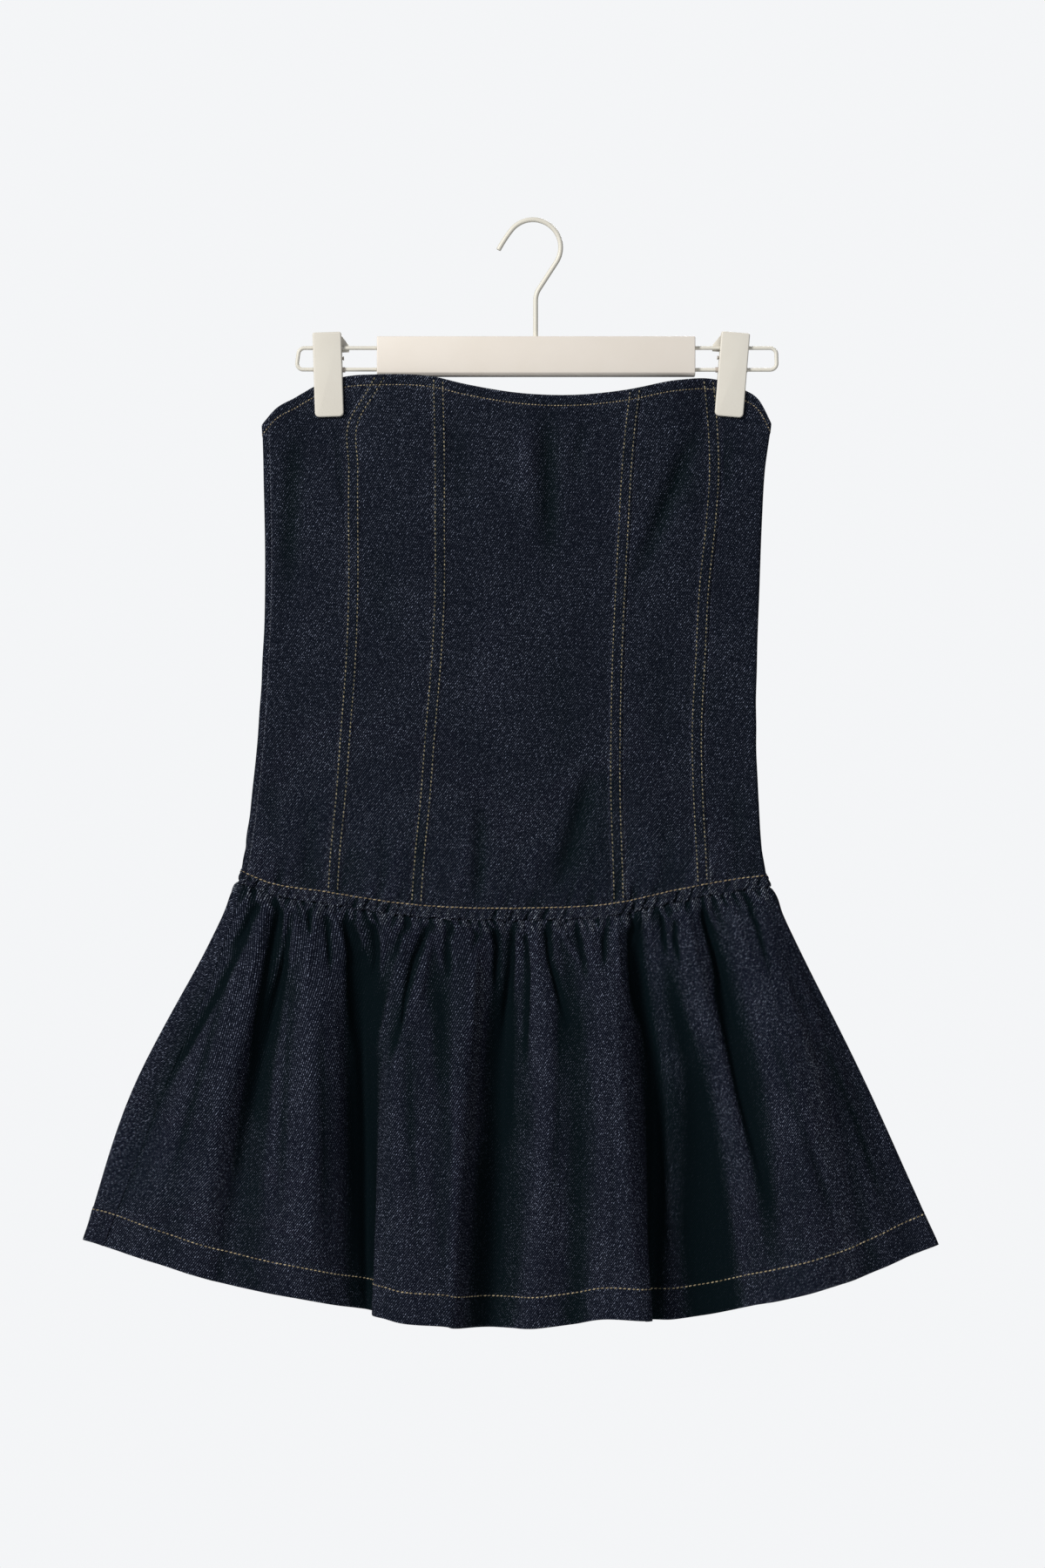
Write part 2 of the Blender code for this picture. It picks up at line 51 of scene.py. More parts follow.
cut = {
    "wall": 1.3,
    "turn": 0.7,  # thicker by this inside a turned edge
    "neckTurn": 9.0,
    "neckStitch": 8.3,  # topstitch below the neckline
    "neckRise": 0.5,
    "fellWidth": 9.3,
    "fellRise": 0.9,
    "fellStitches": (1.5, 8.6),  # from the seam
    "waistStrip": 9.0,
    "waistStitch": 8.7,
    "waistRise": 1.0,
    "hemTurn": 25.0,
    "hemStitch": 24.2,
    "sideRadius": 3.0,
    "sideSeamIn": 6.0,  # side seams lie this far past the fold
    "pinched": 2.2,  # half of the thickness that the clips hold
    "clipHold": 30.0,  # width that a clip holds flat
    "clipEase": 16.0,  # beside it, where the hold fades
    "clipLevels": (-225.0, -156.0),  # no hold below the first height, all of it above the second
    "upperLevel": -568.0,
    "midLevel": -676.0,
}

bodiceRows = table(
    "z      left    outerL  innerL innerR outerR right  front back",
    (-540.6, -232.6, -161.2, -95.9, 72.8, 138.7, 189, 8, 7),
    (-493, -225.1, -158.4, -92.5, 71.4, 136.7, 180.2, 8, 6.5),
    (-452.2, -219.6, -154.4, -88.4, 70, 134.6, 176.8, 8, 6.5),
    (-397.8, -214.2, -150.3, -84.3, 70, 133.3, 174.8, 8.5, 7),
    (-343.4, -210.8, -146.2, -79.6, 71.1, 136, 175.4, 9.5, 7.5),
    (-289, -208.8, -144.2, -76.8, 73.4, 138.7, 177.5, 11, 8),
    (-234.6, -208.8, -144.2, -76.8, 76.2, 144.2, 179.5, 12, 8),
    (-193.8, -209.8, -144.2, -76.8, 78.5, 146.9, 181.9, 11.5, 7),
    (-153, -210.8, -143, -77.5, 82.3, 145.5, 187, 9, 5.5),
    (-136, -211, -132, -77.9, 84.5, 144, 187.6, 8, 5),
    (-119, -211, -122, -78.2, 87, 142.1, 187.8, 7, 4.5),
)

neckline = table(
    "x      front   back",
    (-210.8, -158.4, -158.4),
    (-201, -147, -148.5),
    (-185, -137.4, -139),
    (-170, -128.6, -130.5),
    (-145, -120.6, -125),
    (-120, -119.7, -124.5),
    (-78, -121.5, -129.5),
    (-52, -127.5, -134.5),
    (-9, -134.6, -140.5),
    (32, -136, -142),
    (73, -131.9, -138),
    (114, -123.9, -129),
    (142, -122.8, -126.5),
    (165, -130.8, -132.5),
    (178, -140.5, -141.5),
    (187, -158, -158),
)

waistline = table(
    "x      front   back",
    (-228.5, -514, -514),
    (-210, -522.2, -520.5),
    (-160, -531.1, -529),
    (-95, -540.6, -537),
    (0, -543.5, -540),
    (63, -540, -536.5),
    (115, -529, -527),
    (160, -521, -519.5),
    (184.4, -518.2, -518.2),
)

clipPlaces = table(  # where the clips hold, and how far each leans to the right in degrees
    "side x      lean",
    (-1, -159.1, -1.8),
    (1, 156.1, 4.7),
)

# Soft creases of the bodice: ends, half width and depth. Below 0 it is a ridge, and side 1 is the back
bodiceCreases = table(
    "side xTop zTop xLow zLow width depth",
    (-1, 13, -150, 14, -268, 8, 4.2),
    (-1, -5, -160, -3, -215, 7, -2.4),
    (-1, 128, -163, 82, -280, 8, 4.2),
    (-1, -185, -165, -191, -290, 8, 3.6),
    (-1, 152, -165, 149, -216, 7, 2),
    (-1, -40, -455, -41, -534, 5.5, 3.4),
    (-1, 46, -430, 19, -525, 8, 5),
    (1, -60, -160, -40, -270, 10, 3),
    (1, 70, -150, 62, -250, 9, 2.6),
    (1, -120, -430, -100, -525, 9, 2.8),
    # finer ones, which the solids leave out
    (-1, -154, -160, -146, -230, 2.6, 1.5),
    (-1, 40, -156, 33, -205, 6, 1.6),
    (-1, -60, -150, -52, -230, 9, 1.2),
    (-1, 79, -515, 79, -544, 2.5, 1.8),
    (-1, -204, -435, -201, -486, 6, 1.6),
    (-1, -120, -250, -112, -330, 12, 1),
    (-1, 20, -330, 30, -430, 14, 1.1),
    (-1, -30, -300, -38, -400, 12, -0.9),
    (-1, 104, -330, 100, -420, 10, 0.9),
    (-1, -115, -470, -118, -535, 6, 1.5),
    (-1, 5, -480, 0, -535, 6, -1.2),
    (-1, 62, -470, 66, -530, 6, 1.4),
    (-1, 104, -460, 108, -525, 7, 1.6),
    (-1, 160, -440, 163, -510, 8, 1.8),
    (-1, -170, -450, -176, -525, 7, 1.6),
    (1, 20, -300, 10, -400, 14, 1),
    (1, -140, -170, -150, -260, 10, 1.4),
    (1, 150, -180, 140, -250, 8, 1.3),
    (1, 40, -450, 48, -530, 7, 2),
    (1, 120, -460, 116, -522, 7, 1.8),
    (1, -30, -460, -24, -532, 8, 1.8),
)

# The frill's folds, one row for each ridge, trough or fold edge: its place on the seam from -1 to 1, then
# x and y at the upper and mid levels and at the hem, and the hem's height
foldColumns = "seam   upperX upperY midX midY hemX hemY hemZ"
frontFolds = table(
    foldColumns,
    (-0.969, -241, -4, -285, -5, -332, -7, -799),
    (-0.946, -230, -9, -269, -17, -305, -18, -806),
    (-0.907, -214, -12, -240, -24, -264, -25, -818),
    (-0.842, -195, -6, -213, -7, -236, -21, -826),
    (-0.799, -186, -11, -197, -20, -210, -27, -831),
    (-0.744, -174, -14, -174, -31, -182, -33, -835),
    (-0.652, -156, -12, -152, -23, -152, -23, -842),
    (-0.587, -143, -8, -138, -9, -136, -10, -846),
    (-0.551, -134, -3, -130, -3, -127, -6, -848),
    (-0.522, -127, -6, -123, -13, -122, -17, -848),
    (-0.489, -119, -8, -118, -22, -123, -28, -849),
    (-0.457, -112, -11, -111, -30, -115, -37, -850),
    (-0.391, -101, -16, -103, -36, -100, -43, -853),
    (-0.307, -80, -13, -72, -33, -70, -44, -855),
    (-0.189, -56, -15, -54, -35, -60, -42, -857),
    (-0.010, -18, -6, -24, -9, -30, -14, -860),
    (0.111, 3, -15, 10, -33, 1, -37, -858),
    (0.219, 26, -12, 36, -30, 31, -33, -855),
    (0.349, 53, -15, 60, -36, 58, -42, -850),
    (0.431, 68, -14, 74, -34, 85, -44, -851),
    (0.463, 75, -11, 82, -25, 92, -37, -852),
    (0.486, 79, -8, 86, -16, 89, -27, -854),
    (0.512, 83, -4, 93, -5, 91, -11, -855),
    (0.555, 92, -6, 106, -8, 109, -10, -855),
    (0.610, 108, -10, 130, -5, 142, -5, -851),
    (0.675, 124, -15, 149, -19, 171, -18, -843),
    (0.763, 144, -8, 170, -14, 193, -25, -838),
    (0.848, 170, -15, 203, -29, 225, -31, -829),
    (0.920, 189, -12, 229, -19, 263, -17, -818),
    (0.959, 201, -6, 250, -7, 294, -8, -806),
)
backFolds = table(
    foldColumns,
    (1.000, 209, 0, 262, 0, 317, 0, -798),
    (0.969, 202, 7, 251, 9, 299, 10, -804),
    (0.900, 185, 11, 226, 18, 262, 22, -815),
    (0.800, 160, 8, 193, 9, 221, 10, -826),
    (0.700, 141, 12, 168, 18, 188, 21, -834),
    (0.590, 116, 8, 138, 8, 153, 9, -842),
    (0.480, 93, 12, 111, 20, 124, 25, -847),
    (0.350, 65, 11, 74, 15, 82, 17, -850),
    (0.240, 38, 8, 44, 8, 52, 9, -852),
    (0.110, 5, 12, 15, 19, 17, 23, -854),
    (0.000, -22, 9, -20, 13, -21, 15, -855),
    (-0.120, -53, 12, -50, 20, -56, 24, -854),
    (-0.240, -82, 8, -86, 8, -92, 8, -851),
    (-0.370, -109, 12, -119, 19, -131, 23, -846),
    (-0.470, -134, 10, -149, 13, -165, 14, -842),
    (-0.570, -159, 12, -181, 20, -199, 25, -836),
    (-0.680, -185, 8, -212, 8, -237, 9, -827),
    (-0.800, -211, 11, -245, 17, -277, 21, -817),
    (-0.910, -236, 8, -277, 11, -317, 12, -805),
    (-1.000, -253, 0, -308, 0, -349, 0, -795),
)

# The front's creases and shades are turned round for the back, about half of this, and a little wider apart
backTurn = {"middle": -24.0, "spread": 1.03}

# Painted shade on the frill, where it hangs in shade, with its half width. Below 0 it is a painted highlight
frillShades = table(
    "xTop zTop xLow zLow width dark",
    (-132, -560, -130, -800, 12, 0.20),
    (-116, -600, -110, -850, 9, 0.12),
    (-106, -560, -106, -640, 9, 0.16),
    (96, -590, 118, -800, 13, 0.20),
    (-72, -600, -72, -660, 7, 0.12),
    (-55, -570, -55, -665, 9, 0.18),
    (-216, -700, -234, -850, 13, -0.20),
    (112, -680, 136, -850, 20, 0.26),
    (-30, -560, -18, -700, 9, 0.12),
    (-8, -700, -10, -850, 9, 0.14),
    (-150, -560, -176, -700, 6, 0.05),
    (232, -600, 262, -690, 9, 0.10),
    (-39, -575, -42, -715, 8, -0.34),
    (-8, -635, -6, -705, 7, 0.18),
    (-234, -740, -238, -830, 9, -0.20),
    (-154, -580, -154, -655, 8, -0.16),
    (-24, -558, -24, -600, 8, -0.16),
    (139, -556, 138, -598, 8, -0.20),
    (139, -632, 139, -660, 7, 0.13),
    (107, -580, 109, -680, 7, 0.12),
    (123, -576, 123, -606, 7, 0.12),
    (58, -552, 58, -578, 7, 0.10),
    (41, -605, 41, -635, 7, 0.12),
    (214, -625, 228, -735, 13, -0.20),
    (204, -715, 207, -820, 8, 0.16),
    (240, -765, 250, -825, 13, -0.18),
    (-290, -735, -294, -800, 20, 0.13),
    (-250, -685, -254, -740, 9, 0.11),
    (172, -785, 173, -830, 8, 0.16),
    (156, -708, 156, -740, 7, 0.13),
    (25, -765, 25, -830, 8, -0.15),
    (-88, -712, -90, -770, 8, -0.13),
    (-187, -574, -187, -606, 7, 0.13),
)

# Painted shade on the bodice, in the same way as on the frill. Below 0 it is a painted highlight
bodiceShades = table(
    "xTop zTop xLow zLow width dark",
    (61, -432, 42, -505, 13, 0.15),
    (-89, -462, -89, -500, 9, 0.10),
    (-138, -490, -138, -520, 9, 0.11),
    (132, -352, 132, -390, 13, 0.09),
    (123, -196, 123, -222, 8, 0.10),
    (60, -222, 88, -248, 15, -0.09),
)

# Gathers and lesser folds below the waist seam: three places down each, half width and depth. Below 0 it
# is a ridge
frillCreases = table(
    "xTop zTop xMid zMid xLow zLow width depth",
    (-214, -533, -225, -553, -236, -572, 5.5, 3.6),
    (-206, -533, -217, -580, -231, -636, 3.6, -2.6),
    (-196, -535, -209, -604, -218, -655, 4.2, 4.2),
    (-189, -533, -194, -565, -202, -598, 2.6, -2.4),
    (-189, -548, -197, -595, -206, -640, 3.2, 3),
    (-182, -535, -184, -560, -188, -585, 2.4, -1.8),
    (-173, -536, -173, -548, -171, -560, 2.8, 3),
    (-167, -540, -173, -571, -176, -610, 3.2, -2.4),
    (-160, -540, -158, -560, -156, -590, 2.6, 2.4),
    (-153, -542, -148, -558, -144, -576, 2.6, -2.6),
    (-144, -548, -140, -575, -137, -640, 5, 4.2),
    (-136, -546, -130, -562, -135, -572, 2.6, -3),
    (-123, -549, -121, -570, -126, -600, 3.2, 3.4),
    (-112, -552, -115, -566, -117, -590, 2.6, -2),
    (-95, -545, -102, -556, -107, -577, 2.8, 3.4),
    (-100, -566, -109, -605, -121, -652, 3.6, -2.8),
    (-80, -548, -91, -575, -111, -655, 3.6, 4.6),
    (-79, -558, -85, -588, -92, -622, 3.6, -2.4),
    (-70, -548, -72, -566, -70, -584, 2.4, -1.8),
    (-61, -548, -66, -560, -65, -590, 3, 3.2),
    (-50, -544, -43, -556, -47, -574, 2.8, 3),
    (-44, -566, -46, -600, -49, -655, 4.8, -2.2),
    (-35, -548, -33, -560, -31, -575, 2.4, -1.8),
    (-29, -548, -27, -568, -28, -600, 2.8, 3.4),
    (-15, -552, -17, -586, -23, -640, 3.2, 3.6),
    (-10, -548, -11, -575, -13, -620, 3, -2.2),
    (-5, -546, -4, -585, -6, -655, 2.6, 3.4),
    (4, -548, 4, -566, 6, -590, 2.8, -1.8),
    (11, -547, 14, -575, 28, -625, 3.2, 3.6),
    (20, -546, 26, -560, 39, -580, 2.6, -2.4),
    (33, -546, 37, -560, 42, -590, 2.6, 2.4),
    (46, -546, 47, -562, 50, -592, 2.6, -1.8),
    (57, -545, 56, -560, 56, -580, 2.6, 2.6),
    (66, -543, 66, -560, 69, -600, 3, -2.2),
    (78, -544, 79, -575, 83, -625, 5.5, 4.6),
    (92, -542, 93, -556, 96, -580, 2.6, -2.2),
    (101, -540, 102, -552, 104, -572, 2.6, 2.6),
    (111, -548, 111, -560, 114, -578, 2.4, 3),
    (119, -535, 123, -552, 128, -580, 3, -2.2),
    (134, -541, 142, -568, 159, -640, 3.4, 4.6),
    (136, -526, 139, -538, 144, -552, 2.2, -2.6),
    (154, -530, 162, -552, 172, -585, 4, -1.8),
    (166, -528, 176, -552, 186, -590, 4, 1.8),
    # longer ones, down the folds' sides
    (-222, -556, -250, -610, -284, -672, 4.5, 2.6),
    (-240, -600, -262, -680, -286, -770, 7, 1.6),
    (-186, -600, -192, -690, -196, -780, 7, 1.2),
    (-162, -640, -160, -720, -160, -800, 7, 1.5),
    (-95, -640, -92, -720, -88, -800, 8, 1.4),
    (22, -620, 20, -700, 12, -790, 7, 1.3),
    (146, -600, 162, -680, 186, -770, 4.5, 2.8),
    (188, -640, 214, -720, 240, -790, 7, 1.5),
    (228, -640, 252, -700, 276, -775, 6, 1.6),
)


def smooth(places, values, at):
    # a smooth curve through the rows of a table, whose places rise
    places, values, at = np.asarray(places, float), np.asarray(values, float), np.asarray(at, float)
    slopes = np.gradient(values, places)
    k = np.clip(np.searchsorted(places, at) - 1, 0, len(places) - 2)
    width = places[k + 1] - places[k]
    u = np.clip((at - places[k]) / width, 0, 1)
    near = (1 + 2 * u) * (1 - u) ** 2 * values[k] + u * (1 - u) ** 2 * width * slopes[k]
    far = u * u * (3 - 2 * u) * values[k + 1] + u * u * (u - 1) * width * slopes[k + 1]
    return near + far


def fade(value, low, high):
    u = np.clip((value - low) / (high - low), 0, 1)
    return u * u * (3 - 2 * u)


def hump(value, width):
    return np.exp(-((value / width) ** 2))


def bodiceAt(column, z):
    return smooth(bodiceRows["z"], bodiceRows[column], z)


def halfGirth(z):  # cloth from the left fold to the right one
    return bodiceAt("right", z) - bodiceAt("left", z) + (math.pi - 2) * cut["sideRadius"]


def placeOf(x, z, back):  # a place on the front or back, as a length from the left fold through the front
    along = x - bodiceAt("left", z) + (math.pi / 2 - 1) * cut["sideRadius"]
    return 2 * halfGirth(z) - along if back else along


def onSide(line, back):  # a line from the front's tables, as it is or turned round for the back
    return backTurn["middle"] - backTurn["spread"] * line if back else line


def shadeField(shades, back, x, z):
    # how much painted shade each point gets; below 0 it is a painted highlight
    dark = np.zeros_like(x)
    for xTop, zTop, xLow, zLow, width, deep in zip(*shades.values()):
        line = onSide(np.interp(-z, [-zTop, -zLow], [xTop, xLow]), back)
        down = (zTop - z) / (zTop - zLow)
        dark += deep * fade(down, -0.15, 0.1) * fade(-down, -1.2, -0.9) * hump(x - line, width)
    return dark


def creaseDepth(side, x, z):
    # how far the bodice's creases lie in
    total = np.zeros_like(x)
    for creaseSide, xTop, zTop, xLow, zLow, width, depth in zip(*bodiceCreases.values()):
        down = (zTop - z) / (zTop - zLow)
        line = xTop + (xLow - xTop) * down
        length = fade(down, -0.15, 0.3) * fade(-down, -1.15, -0.6)
        total += (side == creaseSide) * depth * length * hump(x - line, width)
    return total


def heldByClips(x, z):  # 1 where a clip holds front and back together, fading to 0 around it
    held = np.zeros_like(x)
    for clipX in clipPlaces["x"]:
        beside = np.maximum(np.abs(x - clipX) - cut["clipHold"] / 2, 0)
        held = np.maximum(held, hump(beside, cut["clipEase"]))
    return held * fade(z, *cut["clipLevels"])


def girthPoint(place, z):  # the cloth's outer surface at a place along the girth of one height
    radius = cut["sideRadius"]
    half = halfGirth(z)
    place = np.mod(place, 2 * half)
    side = np.where(place < half, -1, 1)
    along = np.where(place < half, place, 2 * half - place)
    fromFold = np.minimum(along, half - along)
    angle = np.clip(fromFold / radius, 0, math.pi / 2)
    foldX = radius * (1 - np.cos(angle)) + np.maximum(fromFold - radius * math.pi / 2, 0)
    left, right = bodiceAt("left", z), bodiceAt("right", z)
    x = np.where(along < half / 2, left + foldX, right - foldX)
    across = (x - (left + right) / 2) / ((right - left) / 2 - radius)
    lens = np.clip(1 - across**2, 0, 1)
    bulge = np.where(side < 0, bodiceAt("front", z), bodiceAt("back", z)) * lens
    depth = radius * np.sin(angle) + bulge - creaseDepth(side, x, z) * np.clip(lens * 4, 0, 1)
    depth = np.where(depth > cut["pinched"], depth + (cut["pinched"] - depth) * heldByClips(x, z), depth)
    return x, side * depth


def outward(before, after):  # level outward directions, from places just before and after each point
    alongX, alongY = after[0] - before[0], after[1] - before[1]
    length = np.hypot(alongX, alongY)
    return alongY / length, -alongX / length


def edgeHeight(edge, x, y):  # of the neckline or the waistline, in front or behind
    return np.where(y < 0, smooth(edge["x"], edge["front"], x), smooth(edge["x"], edge["back"], x))


# Materials


class Value:
    # a value on a socket, so that arithmetic on it adds Math nodes
    def __init__(self, maker, socket):
        self.maker, self.socket = maker, socket

    def math(self, operation, *others):
        return self.maker.node("ShaderNodeMath", {"operation": operation}, [self, *others])

    def __add__(self, other):
        return self.math("ADD", other)

    def __mul__(self, other):
        return self.math("MULTIPLY", other)

    def __rsub__(self, other):
        return self * -1 + other

    __radd__, __rmul__ = __add__, __mul__

    def sine(self):
        return self.math("SINE")

    def between(self, low, high):  # 0 at low and 1 at high
        limits = {"Value": self, "From Min": low, "From Max": high}
        return self.maker.node("ShaderNodeMapRange", {"interpolation_type": "SMOOTHSTEP"}, limits)


class Finish:
    # one material and its nodes
    def __init__(self, name, **constants):
        self.material = bpy.data.materials.new(name)
        self.material.use_nodes = True
        self.tree = self.material.node_tree
        self.shader = self.tree.nodes["Principled BSDF"]
        for socket, value in constants.items():
            self.shader.inputs[socket.replace("_", " ")].default_value = value

    def node(self, kind, settings=None, sockets=(), output=0):
        made = self.tree.nodes.new(kind)
        for name, value in (settings or {}).items():
            setattr(made, name, value)
        pairs = sockets.items() if isinstance(sockets, dict) else enumerate(sockets)
        for key, value in pairs:
            if isinstance(value, Value):
                self.tree.links.new(value.socket, made.inputs[key])
            else:
                made.inputs[key].default_value = value
        return Value(self, made.outputs[output])

    def noise(self, place, scale, detail=2.0, roughness=0.5):
        sockets = {"Vector": place, "Scale": scale, "Detail": detail, "Roughness": roughness}
        return self.node("ShaderNodeTexNoise", {}, sockets)

    def blend(self, share, first, second):
        colours = [c if isinstance(c, Value) else (*c, 1) for c in (first, second)]
        return self.node("ShaderNodeMix", {"data_type": "RGBA"}, {0: share, 6: colours[0], 7: colours[1]}, 2)

    def give(self, socket, value):
        self.tree.links.new(value.socket, self.shader.inputs[socket])

    def bump(self, height, distance, strength=1.0):
        sockets = {"Height": height, "Distance": distance, "Strength": strength}
        self.give("Normal", self.node("ShaderNodeBump", {}, sockets))


denimLook = {
    "twillPitch": 1.50,  # mm of cloth between two twill lines
    "twillAngle": 57.0,  # of the lines, up from the weft
    "drift": 0.8,  # mm that the lines wander
    "driftScale": 110.0,
    "grainAlong": 0.60,  # below 1, so that the dashes are long down the lines
    "dashScale": 1.75,
    "slubScale": 0.30,
    "mottleScale": 170.0,
    "broadScale": 18.0,
    "speckScale": 620.0,
    "fleckShares": (0.70, 1.00, 0.20),  # of the lines, dashes and slubs
    "fleckLimits": (1.14, 1.44),
    "speckLimits": (0.46, 0.70),
    "fleckGain": (2.3, 0.30),  # in the specks, and all over
    # the wear value also carries the painted shade
    "threadGain": (1.1, 0.02),  # by the wear, and all over
    "warp": (0.0012, 0.0040, 0.0056),
    "warpPurple": (0.0034, 0.0046, 0.0100),
    "thread": (0.255, 0.290, 0.392),
    "wornThread": (0.340, 0.385, 0.450),
    "reverse": ((0.050, 0.060, 0.085), (0.085, 0.095, 0.125)),
    "reverseThread": (0.20, 0.22, 0.27),
    "roughness": 0.78,
    "depth": 0.00020,
}


def denim(name, reverse=False):
    look = denimLook
    finish = Finish(name, Roughness=0.85, Specular_IOR_Level=0.03)
    place = finish.node("ShaderNodeUVMap", {"uv_map": "cloth"})
    # turned so that x runs across the twill lines and y along them, in mm of cloth
    turn = math.radians(90 - look["twillAngle"])
    turned = finish.node(
        "ShaderNodeMapping",
        {"vector_type": "POINT"},
        {"Vector": place, "Rotation": (0, 0, turn), "Scale": (1 / mm, 1 / mm, 1 / mm)},
    )
    parts = finish.node("ShaderNodeSeparateXYZ", {}, [turned])
    across, along = parts, Value(finish, parts.socket.node.outputs[1])
    drift = finish.noise(place, look["driftScale"], 1.0) * look["drift"]
    line = ((across + drift) * (2 * math.pi / look["twillPitch"])).sine() * 0.5 + 0.5
    grain = finish.node("ShaderNodeCombineXYZ", {}, [across, along * look["grainAlong"], 0.0])
    dashes = finish.noise(grain, look["dashScale"], 1.0)
    slubs = finish.noise(grain, look["slubScale"], 2.0)
    mottle = finish.noise(place, look["mottleScale"], 3.0, 0.65)
    broad = finish.noise(place, look["broadScale"], 2.0, 0.5)
    wearAndShade = finish.node("ShaderNodeAttribute", {"attribute_name": "wearAndShade"}, output=2)
    specks = finish.noise(place, look["speckScale"], 1.0).between(*look["speckLimits"])
    ofLine, ofDashes, ofSlubs = look["fleckShares"]
    flecks = (line * ofLine + dashes * ofDashes + slubs * ofSlubs).between(*look["fleckLimits"])
    inSpecks, allOver = look["fleckGain"]
    flecks = flecks * (specks * inSpecks + allOver)
    patches = mottle.between(0.32, 0.68) * 0.30 + broad.between(0.3, 0.7) * 0.35 + 0.40
    if reverse:
        ground = finish.blend(mottle, *look["reverse"])
        colour = finish.blend(flecks * 0.6, ground, look["reverseThread"])
    else:
        # the ground goes from the darker teal warp, used where painted shade falls and where least worn, to
        # the purple one
        ground = finish.blend(wearAndShade.between(0.1, 0.6), look["warp"], look["warpPurple"])
        thread = finish.blend(wearAndShade.between(0.6, 1.0), look["thread"], look["wornThread"])
        byWearAndShade, allOver = look["threadGain"]
        colour = finish.blend(flecks * patches * (wearAndShade * byWearAndShade + allOver), ground, thread)
    finish.give("Base Color", colour)
    finish.give("Roughness", mottle * 0.12 + look["roughness"])
    finish.bump(line * 0.6 + dashes * 0.6 + slubs * 0.5, look["depth"])
    return finish.material


def threadFinish(name, dark, pale):
    finish = Finish(name, Roughness=0.55, Sheen_Weight=0.2)
    place = finish.node("ShaderNodeTexCoord", output=3)
    shade = finish.noise(place, 260.0, 3.0, 0.6)
    twist = finish.noise(place, 1800.0, 1.0)
    finish.give("Base Color", finish.blend(shade.between(0.38, 0.62), dark, pale))
    finish.bump(twist, 0.0001)
    return finish.material


def paint(name, colour, shade, roughness, grainScale):
    finish = Finish(name, Roughness=roughness, Specular_IOR_Level=0.4)
    place = finish.node("ShaderNodeTexCoord", output=3)
    cloud = finish.noise(place, 35.0, 4.0, 0.55)
    grain = finish.noise(place, grainScale, 3.0, 0.6)
    finish.give("Base Color", finish.blend(cloud.between(0.3, 0.75), colour, shade))
    finish.give("Roughness", grain * 0.16 + (roughness - 0.08))
    finish.bump(grain, 0.00006, 0.6)
    return finish.material


denimFace = denim("denim_face")
denimReverse = denim("denim_reverse", reverse=True)
goldThread = threadFinish("gold_thread", (0.12, 0.090, 0.040), (0.42, 0.34, 0.20))
paleThread = threadFinish("pale_thread", (0.070, 0.060, 0.034), (0.33, 0.28, 0.17))
orangeThread = threadFinish("orange_thread", (0.14, 0.094, 0.040), (0.40, 0.31, 0.17))
navyThread = threadFinish("navy_thread", (0.012, 0.016, 0.028), (0.10, 0.12, 0.16))
print("Materials are made")


# Cloth


def clothPiece(name, outer, inner, flat, wearAndShade, nodes):
    # a thin wall between two grids of points, its cloth coordinates and its wear, which also carries painted
    # shade
    rows, columns = wearAndShade.shape
    count = rows * columns
    index = np.arange(count).reshape(rows, columns)
    a, b, c, d = index[:-1, :-1], index[1:, :-1], index[1:, 1:], index[:-1, 1:]
    front = np.stack([a, b, c, d], axis=-1).reshape(-1, 4)
    behind = front[:, ::-1] + count
    top, bottom, left, right = index[0], index[-1], index[:, 0], index[:, -1]
    rims = [
        np.stack([top[:-1], top[1:], top[1:] + count, top[:-1] + count], axis=-1),
        np.stack([bottom[1:], bottom[:-1], bottom[:-1] + count, bottom[1:] + count], axis=-1),
        np.stack([left[1:], left[:-1], left[:-1] + count, left[1:] + count], axis=-1),
        np.stack([right[:-1], right[1:], right[1:] + count, right[:-1] + count], axis=-1),
    ]
    faces = np.concatenate([front, behind] + rims)
    points = np.concatenate([outer.reshape(-1, 3), inner.reshape(-1, 3)]) * mm
    mesh = bpy.data.meshes.new(name)
    mesh.vertices.add(len(points))
    mesh.vertices.foreach_set("co", points.astype(np.float32).ravel())
    mesh.loops.add(faces.size)
    mesh.loops.foreach_set("vertex_index", faces.astype(np.int32).ravel())
    mesh.polygons.add(len(faces))
    mesh.polygons.foreach_set("loop_start", np.arange(0, faces.size, 4, dtype=np.int32))
    mesh.materials.append(denimFace)
    mesh.materials.append(denimReverse)
    slots = np.zeros(len(faces), np.int32)
    slots[len(front) : 2 * len(front)] = 1
    mesh.polygons.foreach_set("material_index", slots)
    mesh.update(calc_edges=True)
    cloth = mesh.uv_layers.new(name="cloth")
    twice = np.concatenate([flat.reshape(-1, 2)] * 2) * mm
    cloth.data.foreach_set("uv", twice[faces.ravel()].astype(np.float32).ravel())
    fleckLevel = mesh.attributes.new("wearAndShade", "FLOAT", "POINT")
    fleckLevel.data.foreach_set("value", np.concatenate([wearAndShade.ravel(), wearAndShade.ravel() * 0.5]).astype(np.float32))
    made = bpy.data.objects.new(name, mesh)
    bpy.context.scene.collection.objects.link(made)
    bpy.ops.object.select_all(action="DESELECT")
    made.select_set(True)
    bpy.context.view_layer.objects.active = made
    bpy.ops.object.shade_smooth_by_angle(angle=math.radians(70))
    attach(made, "root")
    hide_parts(*nodes)
    return made


stitchShape = {
    "sides": 5,
    "rings": (0.0, 0.55, 0.95, 1.0, 0.95, 0.55, 0.0),  # shares of its half width, along it
    "uneven": 0.12,
    "arch": 0.30,  # shares of its width
    "sunk": 0.12,
}


